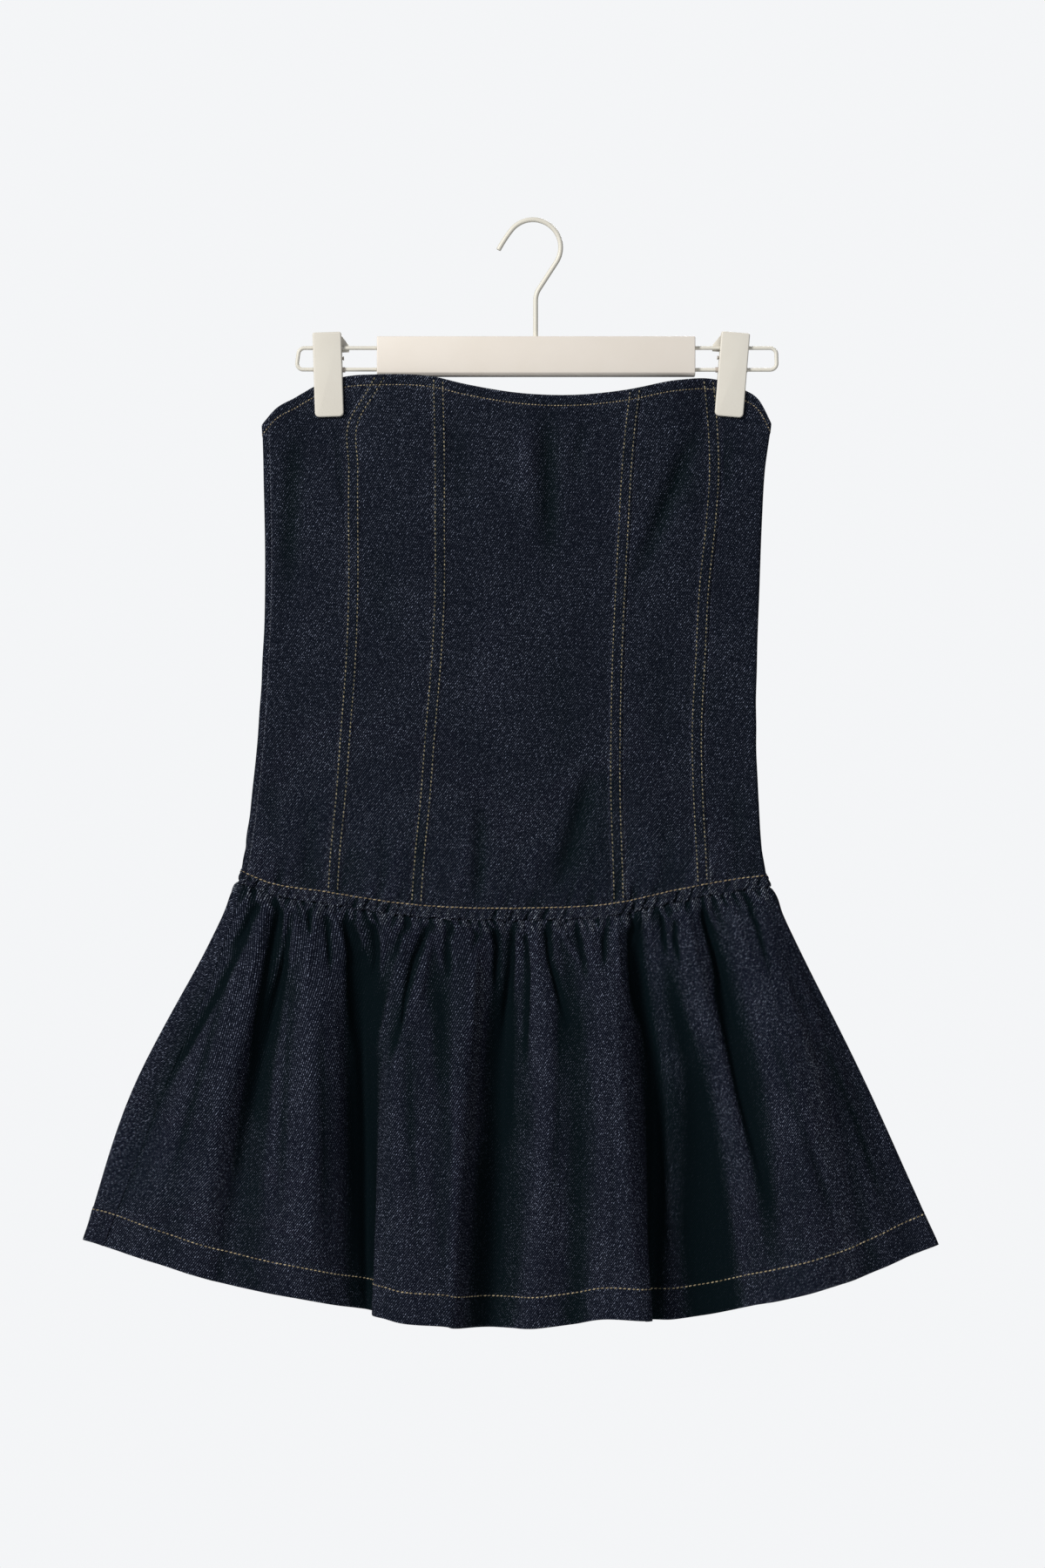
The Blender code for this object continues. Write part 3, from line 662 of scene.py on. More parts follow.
def stitchLine(points, normals, look):
    # short thread beads along a line on the cloth: pitch, length, width and lean of each, in mm
    steps = np.linalg.norm(np.diff(points, axis=0), axis=1)
    along = np.concatenate([[0], np.cumsum(steps)])
    count = int(along[-1] / look["pitch"])
    beads = []
    for i in range(count):
        uneven = stitchShape["uneven"] * math.sin(i * 2.3 + 0.7 * math.sin(i * 0.37))
        middle = (i + 0.5 + uneven * 0.4) * along[-1] / count
        ends = [middle - look["length"] / 2, middle + look["length"] / 2]
        place = [np.array([np.interp(e, along, points[:, k]) for k in range(3)]) for e in ends]
        up = np.array([np.interp(middle, along, normals[:, k]) for k in range(3)])
        up /= np.linalg.norm(up)
        way = place[1] - place[0]
        side = np.cross(up, way)
        side /= np.linalg.norm(side)
        lean = look["lean"] * (1 + uneven)
        start, end = place[0] - side * lean / 2, place[1] + side * lean / 2
        beads.append((start, end, up, look["width"] * (1 + uneven * 0.6)))
    return beads


def threadPiece(name, beads, material):
    # all the stitches of one piece as one mesh
    sides, rings = stitchShape["sides"], stitchShape["rings"]
    angles = np.linspace(0, 2 * math.pi, sides, endpoint=False)
    vertices, faces = [], []
    for start, end, up, width in beads:
        way = end - start
        side = np.cross(up, way)
        side /= np.linalg.norm(side)
        first = len(vertices)
        for k, size in enumerate(rings):
            share = k / (len(rings) - 1)
            arch = up * width * (stitchShape["arch"] * math.sin(math.pi * share) - stitchShape["sunk"])
            centre = start + way * share + arch
            radius = width / 2 * size
            if size == 0:
                vertices.append(centre)
            else:
                vertices += [centre + radius * (math.cos(a) * side + math.sin(a) * up) for a in angles]
        last = len(vertices) - 1
        ringStarts = range(first + 1, last, sides)
        for i in range(sides):
            j = (i + 1) % sides
            faces.append((first, first + 1 + j, first + 1 + i))
            for here, after in zip(ringStarts, ringStarts[1:]):
                faces.append((here + i, here + j, after + j, after + i))
            faces.append((ringStarts[-1] + i, ringStarts[-1] + j, last))
    mesh = bpy.data.meshes.new(name)
    mesh.from_pydata([tuple(v * mm) for v in vertices], [], faces)
    mesh.materials.append(material)
    shape = bmesh.new()
    shape.from_mesh(mesh)
    bmesh.ops.recalc_face_normals(shape, faces=shape.faces)
    for face in shape.faces:
        face.smooth = True
    shape.to_mesh(mesh)
    shape.free()
    made = bpy.data.objects.new(name, mesh)
    bpy.context.scene.collection.objects.link(made)
    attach(made, "root")
    return made


# Bodice

bodice = {
    "cell": 1.15,
    "rows": 92,
    "seamGap": 0.1,
    # broad waves of the cloth: height, length, seed, and lean by the height
    "waves": ((0.35, 61.0, 1.1, 0.15), (0.18, 23.0, 2.2, -0.3)),
    "wearAndShade": 0.46,
    "creaseShade": -0.07,
    "seamDent": 0.35,  # beside a plain seam
    "seamWear": 0.30,
    "clipPress": 0.12,
    "rimThin": 0.9,  # thinner by this at the waist strip's lower rim
    "probe": 0.4,  # mm to each side, to find which way the cloth faces
    # short upright puckers above the waist seam, all round
    "puckers": 150,
    "puckerWidth": (1.8, 4.6),
    "puckerLength": (10, 52),
    "puckerDepth": (0.3, 1.25),
    "puckerRidges": 0.35,  # the share of them that stands out
    "puckerGirth": 860.0,
    "seed": 7,
}
fellStitch = {"pitch": 3.3, "length": 2.4, "width": 1.00, "lean": 0.35}
neckStitch = {"pitch": 2.5, "length": 1.9, "width": 0.85, "lean": 0.35}
waistStitch = {"pitch": 3.5, "length": 3.3, "width": 0.90, "lean": 0.50}
sideStitch = {"pitch": 3.0, "length": 2.2, "width": 0.70, "lean": 0.5}
hemStitch = {"pitch": 3.5, "length": 2.9, "width": 1.00, "lean": 0.35}

fellMarks = [0, 0.35, 0.8, 1.2, 1.5, 1.8, 2.3, 3.2, 4.6, 6.2, 7.4, 8.2, 8.6, 9.0, 9.4, 9.9, 10.5, 11.4, 12.6]
plainMarks = [0, 0.3, 0.7, 1.2, 2.0, 3.2]
foldMarks = [0, 0.3, 0.8, 1.5, 2.3, 3.1, 3.9, 4.7, 5.4, 6.0, 6.6, 7.3, 8.1, 8.9, 9.8, 11.0, 12.6]
neckMarks = [0, 0.25, 0.6, 1.1, 1.9, 3.2, 4.8, 6.3, 7.3, 7.9, 8.3, 8.7, 9.2, 9.8, 10.6, 11.8]
waistMarks = [12.2, 11.0, 10.2, 9.6, 9.1, 8.7, 8.3, 7.7, 6.6, 5.3, 4.0, 2.7, 1.6, 0.9, 0.4, 0]

chance = np.random.default_rng(bodice["seed"])
puckerPlace = np.sort(chance.uniform(0, bodice["puckerGirth"], bodice["puckers"]))
puckerWidth = chance.uniform(*bodice["puckerWidth"], bodice["puckers"])
puckerLength = chance.uniform(*bodice["puckerLength"], bodice["puckers"])
puckerDepth = chance.uniform(*bodice["puckerDepth"], bodice["puckers"])
puckerDepth *= np.where(chance.uniform(0, 1, bodice["puckers"]) < bodice["puckerRidges"], -1, 1)


def seamWobble(place):
    # the uneven lower edge of the waist strip, which hangs over the gathers in small loops
    small = np.sin(place / 1.15 + 1.6 * np.sin(place / 7.1))
    return 0.9 + 0.75 * small + 0.65 * np.sin(place / 3.7 + 1.2 * np.sin(place / 13.0))


def ripple(place, length, seed):  # an uneven wave of about 1 high
    wave = np.sin(2 * math.pi * place / length + 1.7 * np.sin(place / length * 1.9 + seed))
    return wave * (0.75 + 0.25 * np.sin(place / length * 2.7 + seed * 2))


settleRounds = 6  # places and heights follow from each other, so they are worked out in a few rounds


def panelGrid(ends, marks):
    # the panel's places, heights and distances on a fine grid
    leftMarks, rightMarks = marks
    middle = np.full(1, -330.0)
    width = float((ends[1](middle) - ends[0](middle))[0])
    spans = math.ceil((width - leftMarks[-1] - rightMarks[-1]) / bodice["cell"])
    shares = np.linspace(0, 1, spans + 1)[1:-1]
    blendShare = np.concatenate([np.zeros(len(leftMarks)), shares, np.ones(len(rightMarks))])
    shift = np.concatenate(
        [leftMarks, leftMarks[-1] * (1 - shares) - rightMarks[-1] * shares, -np.array(rightMarks[::-1])]
    )
    even = np.linspace(0, 1, bodice["rows"])[1:-1]
    down = 0.45 * even + 0.55 * (0.5 - 0.5 * np.cos(math.pi * even))  # closer rows towards the edges
    share = np.concatenate([np.zeros(len(neckMarks)), down, np.ones(len(waistMarks))])[:, None]
    offset = np.concatenate(
        [-np.array(neckMarks), -neckMarks[-1] * (1 - down) + waistMarks[0] * down, waistMarks]
    )[:, None]
    z = np.full((len(share), len(shift)), -300.0)
    for _ in range(settleRounds):
        start, end = ends[0](z) + bodice["seamGap"] / 2, ends[1](z) - bodice["seamGap"] / 2
        place = start * (1 - blendShare) + end * blendShare + shift
        x, y = girthPoint(place, z)
        neck, waist = edgeHeight(neckline, x, y), edgeHeight(waistline, x, y)
        z = neck * (1 - share) + waist * share + offset
    return place, x, y, z, start, end, neck, waist


# Heights in mm, and wear from 0 to 1, of the felled seams' strips, the turned neckline and the waist strip,
# whose wear is partly painted shade
fellLook = {
    "edge": 1.1,
    "seamDip": 0.55,
    "dent": 0.26,  # where the stitches pull
    "ripple": (0.16, 7.4, 1.0),  # height, length and seed
    "hollow": (0.22, 17.0, 2.0),
    "hollowAt": (14.0, 6.0),  # beside the strip: its middle and half width
    "seamWear": 0.55,
    "edgeWear": 0.30,
    "edgeAt": 9.8,
    "dentWear": 0.30,
}
neckLook = {
    "edge": 1.2,
    "seamsLeft": 0.6,  # of the felled seams' height, under the turned edge
    "dent": 0.30,
    "ripple": (0.20, 11.0, 0.5),
    "rimWear": 0.55,
    "edgeWear": 0.25,
    "edgeAt": 9.6,
}
waistLook = {
    "edge": 1.2,
    "seamsLeft": 0.5,
    "dent": 0.42,
    "slant": 0.3,
    "sway": 1.6,
    # slanted puckers where the gathers are sewn behind: share, length, seed and lean
    "puckers": ((0.60, 5.4, 0.2, 0), (0.35, 8.7, 1.7, 0), (0.15, 4.1, 2.3, 1)),
    "height": 2.0,
    "hang": 0.9,  # how far the lower rim stands off
    # partly painted shade: darker in the gaps between the puckers, paler on them
    "wearAndShade": (1.25, 0.30),  # on the puckers, and all over
    "rimWear": 0.35,
}


def fellProfile(distance, z):
    # height and wear of a felled seam's raised strip, at a distance from the seam
    look = fellLook
    strip = 1 - fade(distance, cut["fellWidth"], cut["fellWidth"] + look["edge"])
    rise = cut["fellRise"] * strip * (1 - look["seamDip"] * hump(distance, 0.45))
    wearAndShade = look["seamWear"] * hump(distance, 0.8) + look["edgeWear"] * hump(distance - look["edgeAt"], 0.8)
    for line in cut["fellStitches"]:
        rise -= look["dent"] * hump(distance - line, 0.5)
        wearAndShade -= look["dentWear"] * hump(distance - line, 0.7)
    high, length, seed = look["ripple"]
    rise += high * ripple(z, length, seed) * strip * fade(distance, 0.0, 2.0)
    high, length, seed = look["hollow"]
    middle, width = look["hollowAt"]
    rise += high * ripple(z, length, seed) * hump(distance - middle, width)
    return rise, wearAndShade


def neckProfile(rise, wearAndShade, below, place):
    # the turned neckline over the panel's own form, and where it is turned
    look = neckLook
    turned = 1 - fade(below, cut["neckTurn"], cut["neckTurn"] + look["edge"])
    rise = np.maximum(rise, 0) * look["seamsLeft"] * turned + rise * (1 - turned)
    rise += cut["neckRise"] * turned * (1 - 0.6 * hump(below, 0.5))
    rise -= look["dent"] * hump(below - cut["neckStitch"], 0.6)
    high, length, seed = look["ripple"]
    rise += high * ripple(place, length, seed) * fade(-below, -13, -4) * fade(below, 0, 3)
    wearAndShade += look["rimWear"] * hump(below, 1.2) + look["edgeWear"] * hump(below - look["edgeAt"], 1.0)
    return rise, wearAndShade, turned


def waistProfile(rise, wearAndShade, above, place):
    # the strip along the waist seam over the panel's own form, and where it is
    look = waistLook
    strip = 1 - fade(above, cut["waistStrip"], cut["waistStrip"] + look["edge"])
    rise = np.maximum(rise, 0) * look["seamsLeft"] * strip + rise * (1 - strip)
    rise += cut["waistRise"] * strip * (1 - 0.5 * hump(above, 0.6))
    rise -= look["dent"] * hump(above - cut["waistStitch"], 0.7)
    slant = place - look["slant"] * above + look["sway"] * np.sin(place / 11.0)
    bumps = 0
    for share, length, seed, lean in look["puckers"]:
        bumps = bumps + share * ripple(slant + lean * above, length, seed)
    bumps = bumps * (0.85 + 0.35 * np.sin(place / 17.0 + 1.0))
    onStrip = strip * fade(-above, -8.8, -6.6)
    rise += look["height"] * bumps * onStrip + look["hang"] * (1 - fade(above, 0.0, 3.0))
    onBumps, allOver = look["wearAndShade"]
    wearAndShade += (onBumps * bumps + allOver) * onStrip + look["rimWear"] * hump(above, 1.2)
    return rise, wearAndShade, strip


def addPuckers(rise, wearAndShade, above, place):
    # short puckers above the strip, which run up from it and fade
    for centre, width, length, depth in zip(puckerPlace, puckerWidth, puckerLength, puckerDepth):
        if (np.abs(place - centre) < 3 * width).any():
            high = np.maximum(above - cut["waistStitch"], 0) / length
            shape = hump(place - centre - 0.12 * high * length, width * (1 + 0.5 * high)) * hump(high, 0.8)
            shape = depth * shape * fade(above, 7.6, 10.5)
            rise -= shape
            # painted shade in the sunken puckers, painted highlight on the raised ones
            wearAndShade -= 0.16 * shape


def bodicePanel(name, ends, marks, size):
    place, x, y, z, start, end, neck, waist = panelGrid(ends, marks)
    rise, wearAndShade = np.zeros_like(x), np.full_like(x, bodice["wearAndShade"])
    for beside, distance in zip(marks, (place - start, end - place)):
        if beside is fellMarks:
            added, fleckLevel = fellProfile(distance, z)
            rise, wearAndShade = rise + added, wearAndShade + fleckLevel
        else:
            rise -= bodice["seamDent"] * hump(distance, 1.1)
            wearAndShade += bodice["seamWear"] * hump(distance - 1.0, 0.9)
    below, above = neck - z, z - waist
    rise, wearAndShade, turned = neckProfile(rise, wearAndShade, below, place)
    rise, wearAndShade, strip = waistProfile(rise, wearAndShade, above, place)
    addPuckers(rise, wearAndShade, above, place)
    for high, length, seed, lean in bodice["waves"]:
        rise += high * ripple(place + lean * z, length, seed) * fade(below, 10, 40) * fade(above, 10, 40)

    held = heldByClips(x, z)
    rise = rise * (1 - held) - bodice["clipPress"] * held
    z = z - seamWobble(place) * (1 - fade(above, 0, 11))
    crease = creaseDepth(np.where(y < 0, -1, 1), x, z)
    # painted shade in the creases and from the bodice's shade table
    wearAndShade += bodice["creaseShade"] * crease - shadeField(bodiceShades, y.mean() > 0, x, z)
    before, after = girthPoint(place - bodice["probe"], z), girthPoint(place + bodice["probe"], z)
    normalX, normalY = outward(before, after)
    thickness = cut["wall"] + cut["turn"] * np.maximum(turned, strip)
    thickness -= bodice["rimThin"] * (1 - fade(above, 0.5, 4.0))
    outer = np.stack([x + normalX * rise, y + normalY * rise, z], axis=-1)
    within = np.minimum(rise, 0) - thickness
    inner = np.stack([x + normalX * within, y + normalY * within, z], axis=-1)
    flat = np.stack([place, z], axis=-1)
    made = clothPiece("cloth_" + name, outer, inner, flat, np.clip(wearAndShade, 0, 1), [name])
    normals = np.stack([normalX, normalY, np.zeros_like(x)], axis=-1)
    width, length, area = size
    return outer, normals, above, below


def felledSeam(column, back=False):
    return lambda z: placeOf(bodiceAt(column, z), z, back)


def sideSeam(folds):  # just past the left fold, which is 0 and again 2, or past the right one, which is 1
    return lambda z: folds * halfGirth(z) + cut["sideSeamIn"]


def centreBack(z):
    return 1.5 * halfGirth(z)


leftSide, rightSide, leftAgain = sideSeam(0), sideSeam(1), sideSeam(2)
outerLeft, innerLeft = felledSeam("outerL"), felledSeam("innerL")
innerRight, outerRight = felledSeam("innerR"), felledSeam("outerR")
backLeft, backRight = felledSeam("outerL", back=True), felledSeam("outerR", back=True)
panels = (
    # the seams it runs between, the marks beside each, and its width, length and area in metres
    ("front_side_left", leftSide, outerLeft, plainMarks, plainMarks, (0.085, 0.418, 0.0256)),
    ("front_mid_left", outerLeft, innerLeft, fellMarks, plainMarks, (0.069, 0.421, 0.0268)),
    ("front_centre", innerLeft, innerRight, fellMarks, fellMarks, (0.169, 0.421, 0.0655)),
    ("front_mid_right", innerRight, outerRight, plainMarks, fellMarks, (0.070, 0.407, 0.0260)),
    ("front_side_right", outerRight, rightSide, plainMarks, foldMarks, (0.054, 0.404, 0.0186)),
    ("back_side_right", rightSide, backRight, plainMarks, plainMarks, (0.045, 0.398, 0.0148)),
    ("back_centre_right", backRight, centreBack, fellMarks, plainMarks, (0.170, 0.402, 0.0634)),
    ("back_centre_left", centreBack, backLeft, plainMarks, fellMarks, (0.138, 0.411, 0.0526)),
    ("back_side_left", backLeft, leftAgain, plainMarks, foldMarks, (0.092, 0.410, 0.0280)),
)


gold, pale, orange, navy = [], [], [], []
for panel, start, end, startMarks, endMarks, size in panels:
    ends, marks = (start, end), (startMarks, endMarks)
    points, normals, above, below = bodicePanel("bodice_" + panel, ends, marks, size)
    clear = [r for r in range(len(points)) if above[r, 2] > cut["waistStitch"] + 2 and below[r, 2] > 1.5]
    for side, beside in enumerate(marks):
        for distance in cut["fellStitches"] if beside is fellMarks else ():
            c = fellMarks.index(distance)
            c = c if side == 0 else -1 - c
            pale += stitchLine(points[clear, c], normals[clear, c], fellStitch)
    row = neckMarks.index(cut["neckStitch"])
    gold += stitchLine(points[row], normals[row], neckStitch)
    row = -len(waistMarks) + waistMarks.index(cut["waistStitch"])
    orange += stitchLine(points[row], normals[row], waistStitch)
    if start in (leftSide, rightSide):
        navy += stitchLine(points[clear, 3], normals[clear, 3], sideStitch)
threadPiece("stitching_felled_seams", pale, paleThread)
threadPiece("stitching_neckline", gold, goldThread)
threadPiece("stitching_waist", orange, orangeThread)
threadPiece("stitching_side_seams", navy, navyThread)
print("The bodice is made")


# Frill

frill = {
    "columns": 380,
    "topMarks": [0, 0.4, 0.9, 1.5, 2.2, 3.1, 4.2, 5.5, 7.0, 8.8, 10.8, 13.0],
    "hemMarks": [
        27.5, 26.3, 25.6, 25.0, 24.6, 24.2, 23.8, 23.0, 21.0, 18.5, 16, 13.5, 11, 8.5, 6, 4, 2.4, 1.2, 0.5, 0
    ],
    "rows": 86,
    "seamGirth": 411.0,  # of the waist seam, laid out for each of front and back
    "seamDrop": 0.3,  # its top edge lies this much below the waist seam
    "tuck": 1.3,  # how far it goes in behind the strip
    "swell": 1.4,  # how far it springs out under the strip
    # waves down the cloth: height, length, seed, lean by the height, where they fade in below the seam, and
    # where they fade out above the hem
    "waves": ((0.22, 23.0, 0.4, 0.10, (25, 80), (20, 60)), (0.7, 47.0, 1.4, -0.05, (30, 90), (-2, -1))),
    "hemWave": (0.22, 9.5, 0.9),
    "hemRise": 0.35,
    "stitchDent": 0.30,
    # far below the bodice's, as painted shade over the whole frill
    "wearAndShade": 0.04,
    "rimWear": 0.30,
    "turnWear": 0.12,  # at the upper edge of the hem's turn
    # points to each side, how far a point stands out from their middle, and the wear and painted shade there
    "rubbedRidgesShadedTroughs": ((16, -3.5, 1.2, 0.40), (5, -0.8, 0.8, 0.16)),
    # paler on the gathers' heads, with painted shade in the band under the strip around them
    "headWearAndShade": (0.36, -0.26),  # for each mm of the gathers' height near the seam, and all over there
    # painted shade in the creases
    "creaseShade": -0.16,
    # on the front, and as many on the back
    "gathers": {"count": 46, "height": (0.9, 2.4), "length": (11.0, 34.0), "lean": 0.14, "fill": (3.8, 5.4)},
    "heads": {"count": 62, "height": (1.8, 3.8), "length": (8.0, 17.0), "lean": 0.40, "fill": (1.5, 2.5)},
}


def foldRing():
    # the fold tables as one ring, with seam places running from -1 through the front and back to 3
    names = foldColumns.split()
    ring = {n: np.concatenate([frontFolds[n], backFolds[n]]) for n in names}
    ring["seam"] = np.concatenate([frontFolds["seam"], 2 - backFolds["seam"]])
    order = np.argsort(ring["seam"])
    closed = {}
    for n in names:
        values, turn = ring[n][order], 4 if n == "seam" else 0
        closed[n] = np.concatenate([values[-4:] - turn, values, values[:3] + turn])
    return closed


def frillSurface(folds, turn):
    read = {c: smooth(folds["seam"], folds[c], turn) for c in folds}
    z = np.full_like(turn, -530.0)
    for _ in range(settleRounds):
        x, y = girthPoint((turn + 1) / 2 * halfGirth(z), z)
        z = edgeHeight(waistline, x, y)
    seamZ, hemZ = z - frill["seamDrop"], read["hemZ"]
    top, hem = np.array(frill["topMarks"]), np.array(frill["hemMarks"])
    share = np.linspace(0, 1, frill["rows"])[1:-1, None]
    upper = seamZ - top[:, None]
    lower = hemZ + hem[:, None]
    heights = np.concatenate([upper, upper[-1] * (1 - share) + lower[0] * share, lower])
    level = [np.empty_like(heights), np.empty_like(heights)]
    for i in range(len(turn)):
        knots = [hemZ[i], cut["midLevel"], cut["upperLevel"], seamZ[i]]
        for axis, letter, seam in ((0, "X", x), (1, "Y", y)):
            rows = [read[f"{height}{letter}"][i] for height in ("hem", "mid", "upper")]
            level[axis][:, i] = smooth(knots, rows + [seam[i]], heights[:, i])
    return level[0], level[1], heights


def gatherField(seamPlace, down, seed, kind):
    # narrow gathers that fill the seam between the larger ones: rounded ridges with sharp valleys between
    random = np.random.default_rng(seed)
    first, last = seamPlace.min(), seamPlace.max()
    gaps = random.uniform(0.5, 1.6, kind["count"] + 1)
    centres = first + np.cumsum(gaps)[:-1] / gaps.sum() * (last - first)
    field = np.zeros_like(down)
    for k, centre in enumerate(centres):
        height = random.uniform(*kind["height"])
        length = random.uniform(*kind["length"])
        lean = random.uniform(-kind["lean"], kind["lean"])
        width = gaps[k] * random.uniform(*kind["fill"]) * (1 + 0.5 * down / length)
        curl = random.uniform(-1.1, 1.1) * np.sin(down / 4.5)
        u = (seamPlace - centre - lean * down - curl) / width
        shape = np.clip(1 - u * u, 0, 1) ** 0.7
        field = np.maximum(field, height * shape * np.exp(-((down / length) ** 1.6)))
    return field * fade(down, -1.5, 2.0)


def creaseField(back, x, z):
    # the gathers and lesser folds of the table: how far each lies in
    depth = np.zeros_like(x)
    for xTop, zTop, xMid, zMid, xLow, zLow, width, deep in zip(*frillCreases.values()):
        line = onSide(np.interp(-z, [-zTop, -zMid, -zLow], [xTop, xMid, xLow]), back)
        down = (zTop - z) / (zTop - zLow)
        length = fade(down, -0.25, 0.12) * fade(-down, -1.12, -0.55)
        depth += deep * length * np.exp(-1.4 * np.abs((x - line) / width) ** 1.5)
    return depth


def frillPanel(name, start, end, seed):
    folds = foldRing()
    fine = np.linspace(start, end, 1200)
    hem = [smooth(folds["seam"], folds[c], fine) for c in ("hemX", "hemY")]
    length = np.concatenate([[0], np.cumsum(np.hypot(*np.diff(hem)))])
    even = 0.5 * length / length[-1] + 0.5 * (fine - start) / (end - start)
    turn = np.interp(np.linspace(0, 1, frill["columns"] + 1), even, fine)
    x, y, z = frillSurface(folds, turn)
    step = 0.003
    normalX, normalY = outward(frillSurface(folds, turn - step), frillSurface(folds, turn + step))
    down = z[0] - z
    above = z - z[-1]
    seamPlace = np.broadcast_to((turn + 1) / 2 * frill["seamGirth"], down.shape)
    along = np.broadcast_to(np.interp(turn, fine, length), down.shape)

    back = y[-1].mean() > 0
    heads = gatherField(seamPlace, down, seed + 1, frill["heads"])
    field = np.maximum(gatherField(seamPlace, down, seed, frill["gathers"]), heads)
    creases = creaseField(back, x, z) * fade(down, -2, 16)
    rise = field - creases + frill["swell"] * hump(down - 9, 8) - frill["tuck"] * hump(down, 2.5)
    for high, size, phase, lean, fadeIn, fadeOut in frill["waves"]:
        rise += high * ripple(along + lean * z, size, phase) * fade(down, *fadeIn) * fade(above, *fadeOut)
    rise -= frill["stitchDent"] * hump(above - cut["hemStitch"], 0.7)
    inHem = 1 - fade(above, cut["hemTurn"], cut["hemTurn"] + 1.5)
    high, size, phase = frill["hemWave"]
    rise += high * ripple(along + 0.6 * above, size, phase) * inHem * fade(above, 0, 3)
    rise += frill["hemRise"] * inHem * (1 - 0.7 * hump(above, 0.6))

    outer = np.stack([x + normalX * rise, y + normalY * rise, z], axis=-1)
    # ridges rub paler, and the troughs between them are darkened as painted shade: how far each point stands
    # out from its surroundings
    wearAndShade = np.full_like(x, frill["wearAndShade"])
    for span, low, high, share in frill["rubbedRidgesShadedTroughs"]:
        padded = np.concatenate([outer[:, :1].repeat(span, 1), outer, outer[:, -1:].repeat(span, 1)], axis=1)
        total = np.cumsum(np.concatenate([np.zeros_like(padded[:, :1]), padded], axis=1), axis=1)
        mean = (total[:, 2 * span + 1 :] - total[:, : -2 * span - 1]) / (2 * span + 1)
        stands = (outer - mean)[..., 0] * normalX + (outer - mean)[..., 1] * normalY
        wearAndShade += share * fade(stands, low, high)
    wearAndShade += frill["rimWear"] * hump(above, 1.2) + frill["turnWear"] * hump(above - cut["hemTurn"], 1.5)
    nearSeam = 1 - fade(down, 4, 20)
    onHeads, allOver = frill["headWearAndShade"]
    wearAndShade += nearSeam * (onHeads * heads + allOver) + frill["creaseShade"] * np.maximum(creases, 0)
    # painted shade and painted highlight from the frill's table, kept off the band under the strip
    wearAndShade -= shadeField(frillShades, back, x, z) * fade(down, 5, 22)

    thickness = cut["wall"] + cut["turn"] * inHem
    within = rise - thickness
    inner = np.stack([x + normalX * within, y + normalY * within, z], axis=-1)
    # cloth coordinates: the length along each row from its middle, so that the twill keeps its pitch
    steps = np.hypot(np.diff(x, axis=1), np.diff(y, axis=1))
    run = np.concatenate([np.zeros_like(steps[:, :1]), np.cumsum(steps, axis=1)], axis=1)
    flat = np.stack([run - run[:, frill["columns"] // 2][:, None], -down * 1.02], axis=-1)
    made = clothPiece("cloth_" + name, outer, inner, flat, np.clip(wearAndShade, 0, 1), [name])
    normals = np.stack([normalX, normalY, np.zeros_like(x)], axis=-1)
    row = -len(frill["hemMarks"]) + frill["hemMarks"].index(cut["hemStitch"])
    beads = stitchLine(outer[row], normals[row], hemStitch)
    return made, beads


halfWaist = float(halfGirth(np.array(-515.0)))
leftSeam = -1 + 2 * cut["sideSeamIn"] / halfWaist
rightSeam = 1 + 2 * cut["sideSeamIn"] / halfWaist
gap = 0.1 / halfWaist
frillFront, hemFront = frillPanel("frill_front", leftSeam + gap, rightSeam - gap, 11)
frillBack, hemBack = frillPanel("frill_back", rightSeam + gap, leftSeam + 4 - gap, 23)
threadPiece("stitching_hem", hemFront + hemBack, goldThread)
print("The frill is made")


# Hanger

hanger = {
    "wire": 3.0,
    "hookWire": 3.8,
    "hookRadius": 21.6,
    "hookMiddle": (0.7, -19.7),
    "hookTip": (105.0, 10.0),  # radius and angle of the slight curve from the tip
    "hookStart": 38.0,  # the main curve starts this much past level
    "hookNeck": 24.6,  # straight length after it
    "hookTurn": 33.0,  # the curve ends this much past level, and the neck turns back by it
    "stemX": 2.7,
    "barLeft": -121.0,
    "barRight": 127.2,
    "barTop": -89.8,
    "barBottom": -120.6,
    "barDepth": 12.0,
    "barRound": 0.8,
    "barChamfer": 2.4,  # along the lower edges
    "endRecess": ((1.0, 0.0), (0.4, -0.8)),  # width and depth of each step
    "underRecess": ((1.2, 0.0), (0.3, -2.4)),
    "loopTop": -98.3,
    "loopBottom": -115.3,
    "loopCorner": 5.0,
    "loopInset": 1.6,  # of the upper corner, from the loop's end
    "loopLeans": (8.0, 1.5),  # of the loops' ends, outwards to the bottom
    "loopEnds": (-184.1, 192.3),
    "gap": 0.3,
    "sides": 18,
}
clip = {
    "width": 22.4,
    "height": 66.0,
    "top": -86.4,
    "frontThick": 2.5,
    "backThick": 1.6,
    "round": 1.1,
    "lowCorner": 3.4,
    "topCorner": 1.6,
    "cheek": (6.6, 1.3, 14.0),
    "cheekIn": 1.0,  # under the plate's edge
    "cheekDown": 1.5,  # from the plate's top
    "cheekCut": (0.6, 1.4),  # where its slanted edge starts, in from the plate's edge and top
    "pinRadius": 1.1,
    "pinOver": 1.6,  # longer than the plate is wide
    "pinHead": (0.5, 0.9),  # thicker by this, and its length
    "sleeveRadius": 2.1,
    "sleeveOver": 2.6,
    "sleeveRecess": (0.25, -0.3),
    "coilShare": 0.62,  # of the plate's width
    "coilRadius": 1.6,
    "coilWire": 0.45,
    "coilTurns": 9,
}


def alone():
    if bpy.context.mode != "OBJECT":
        bpy.ops.object.mode_set(mode="OBJECT")
    bpy.ops.object.select_all(action="DESELECT")


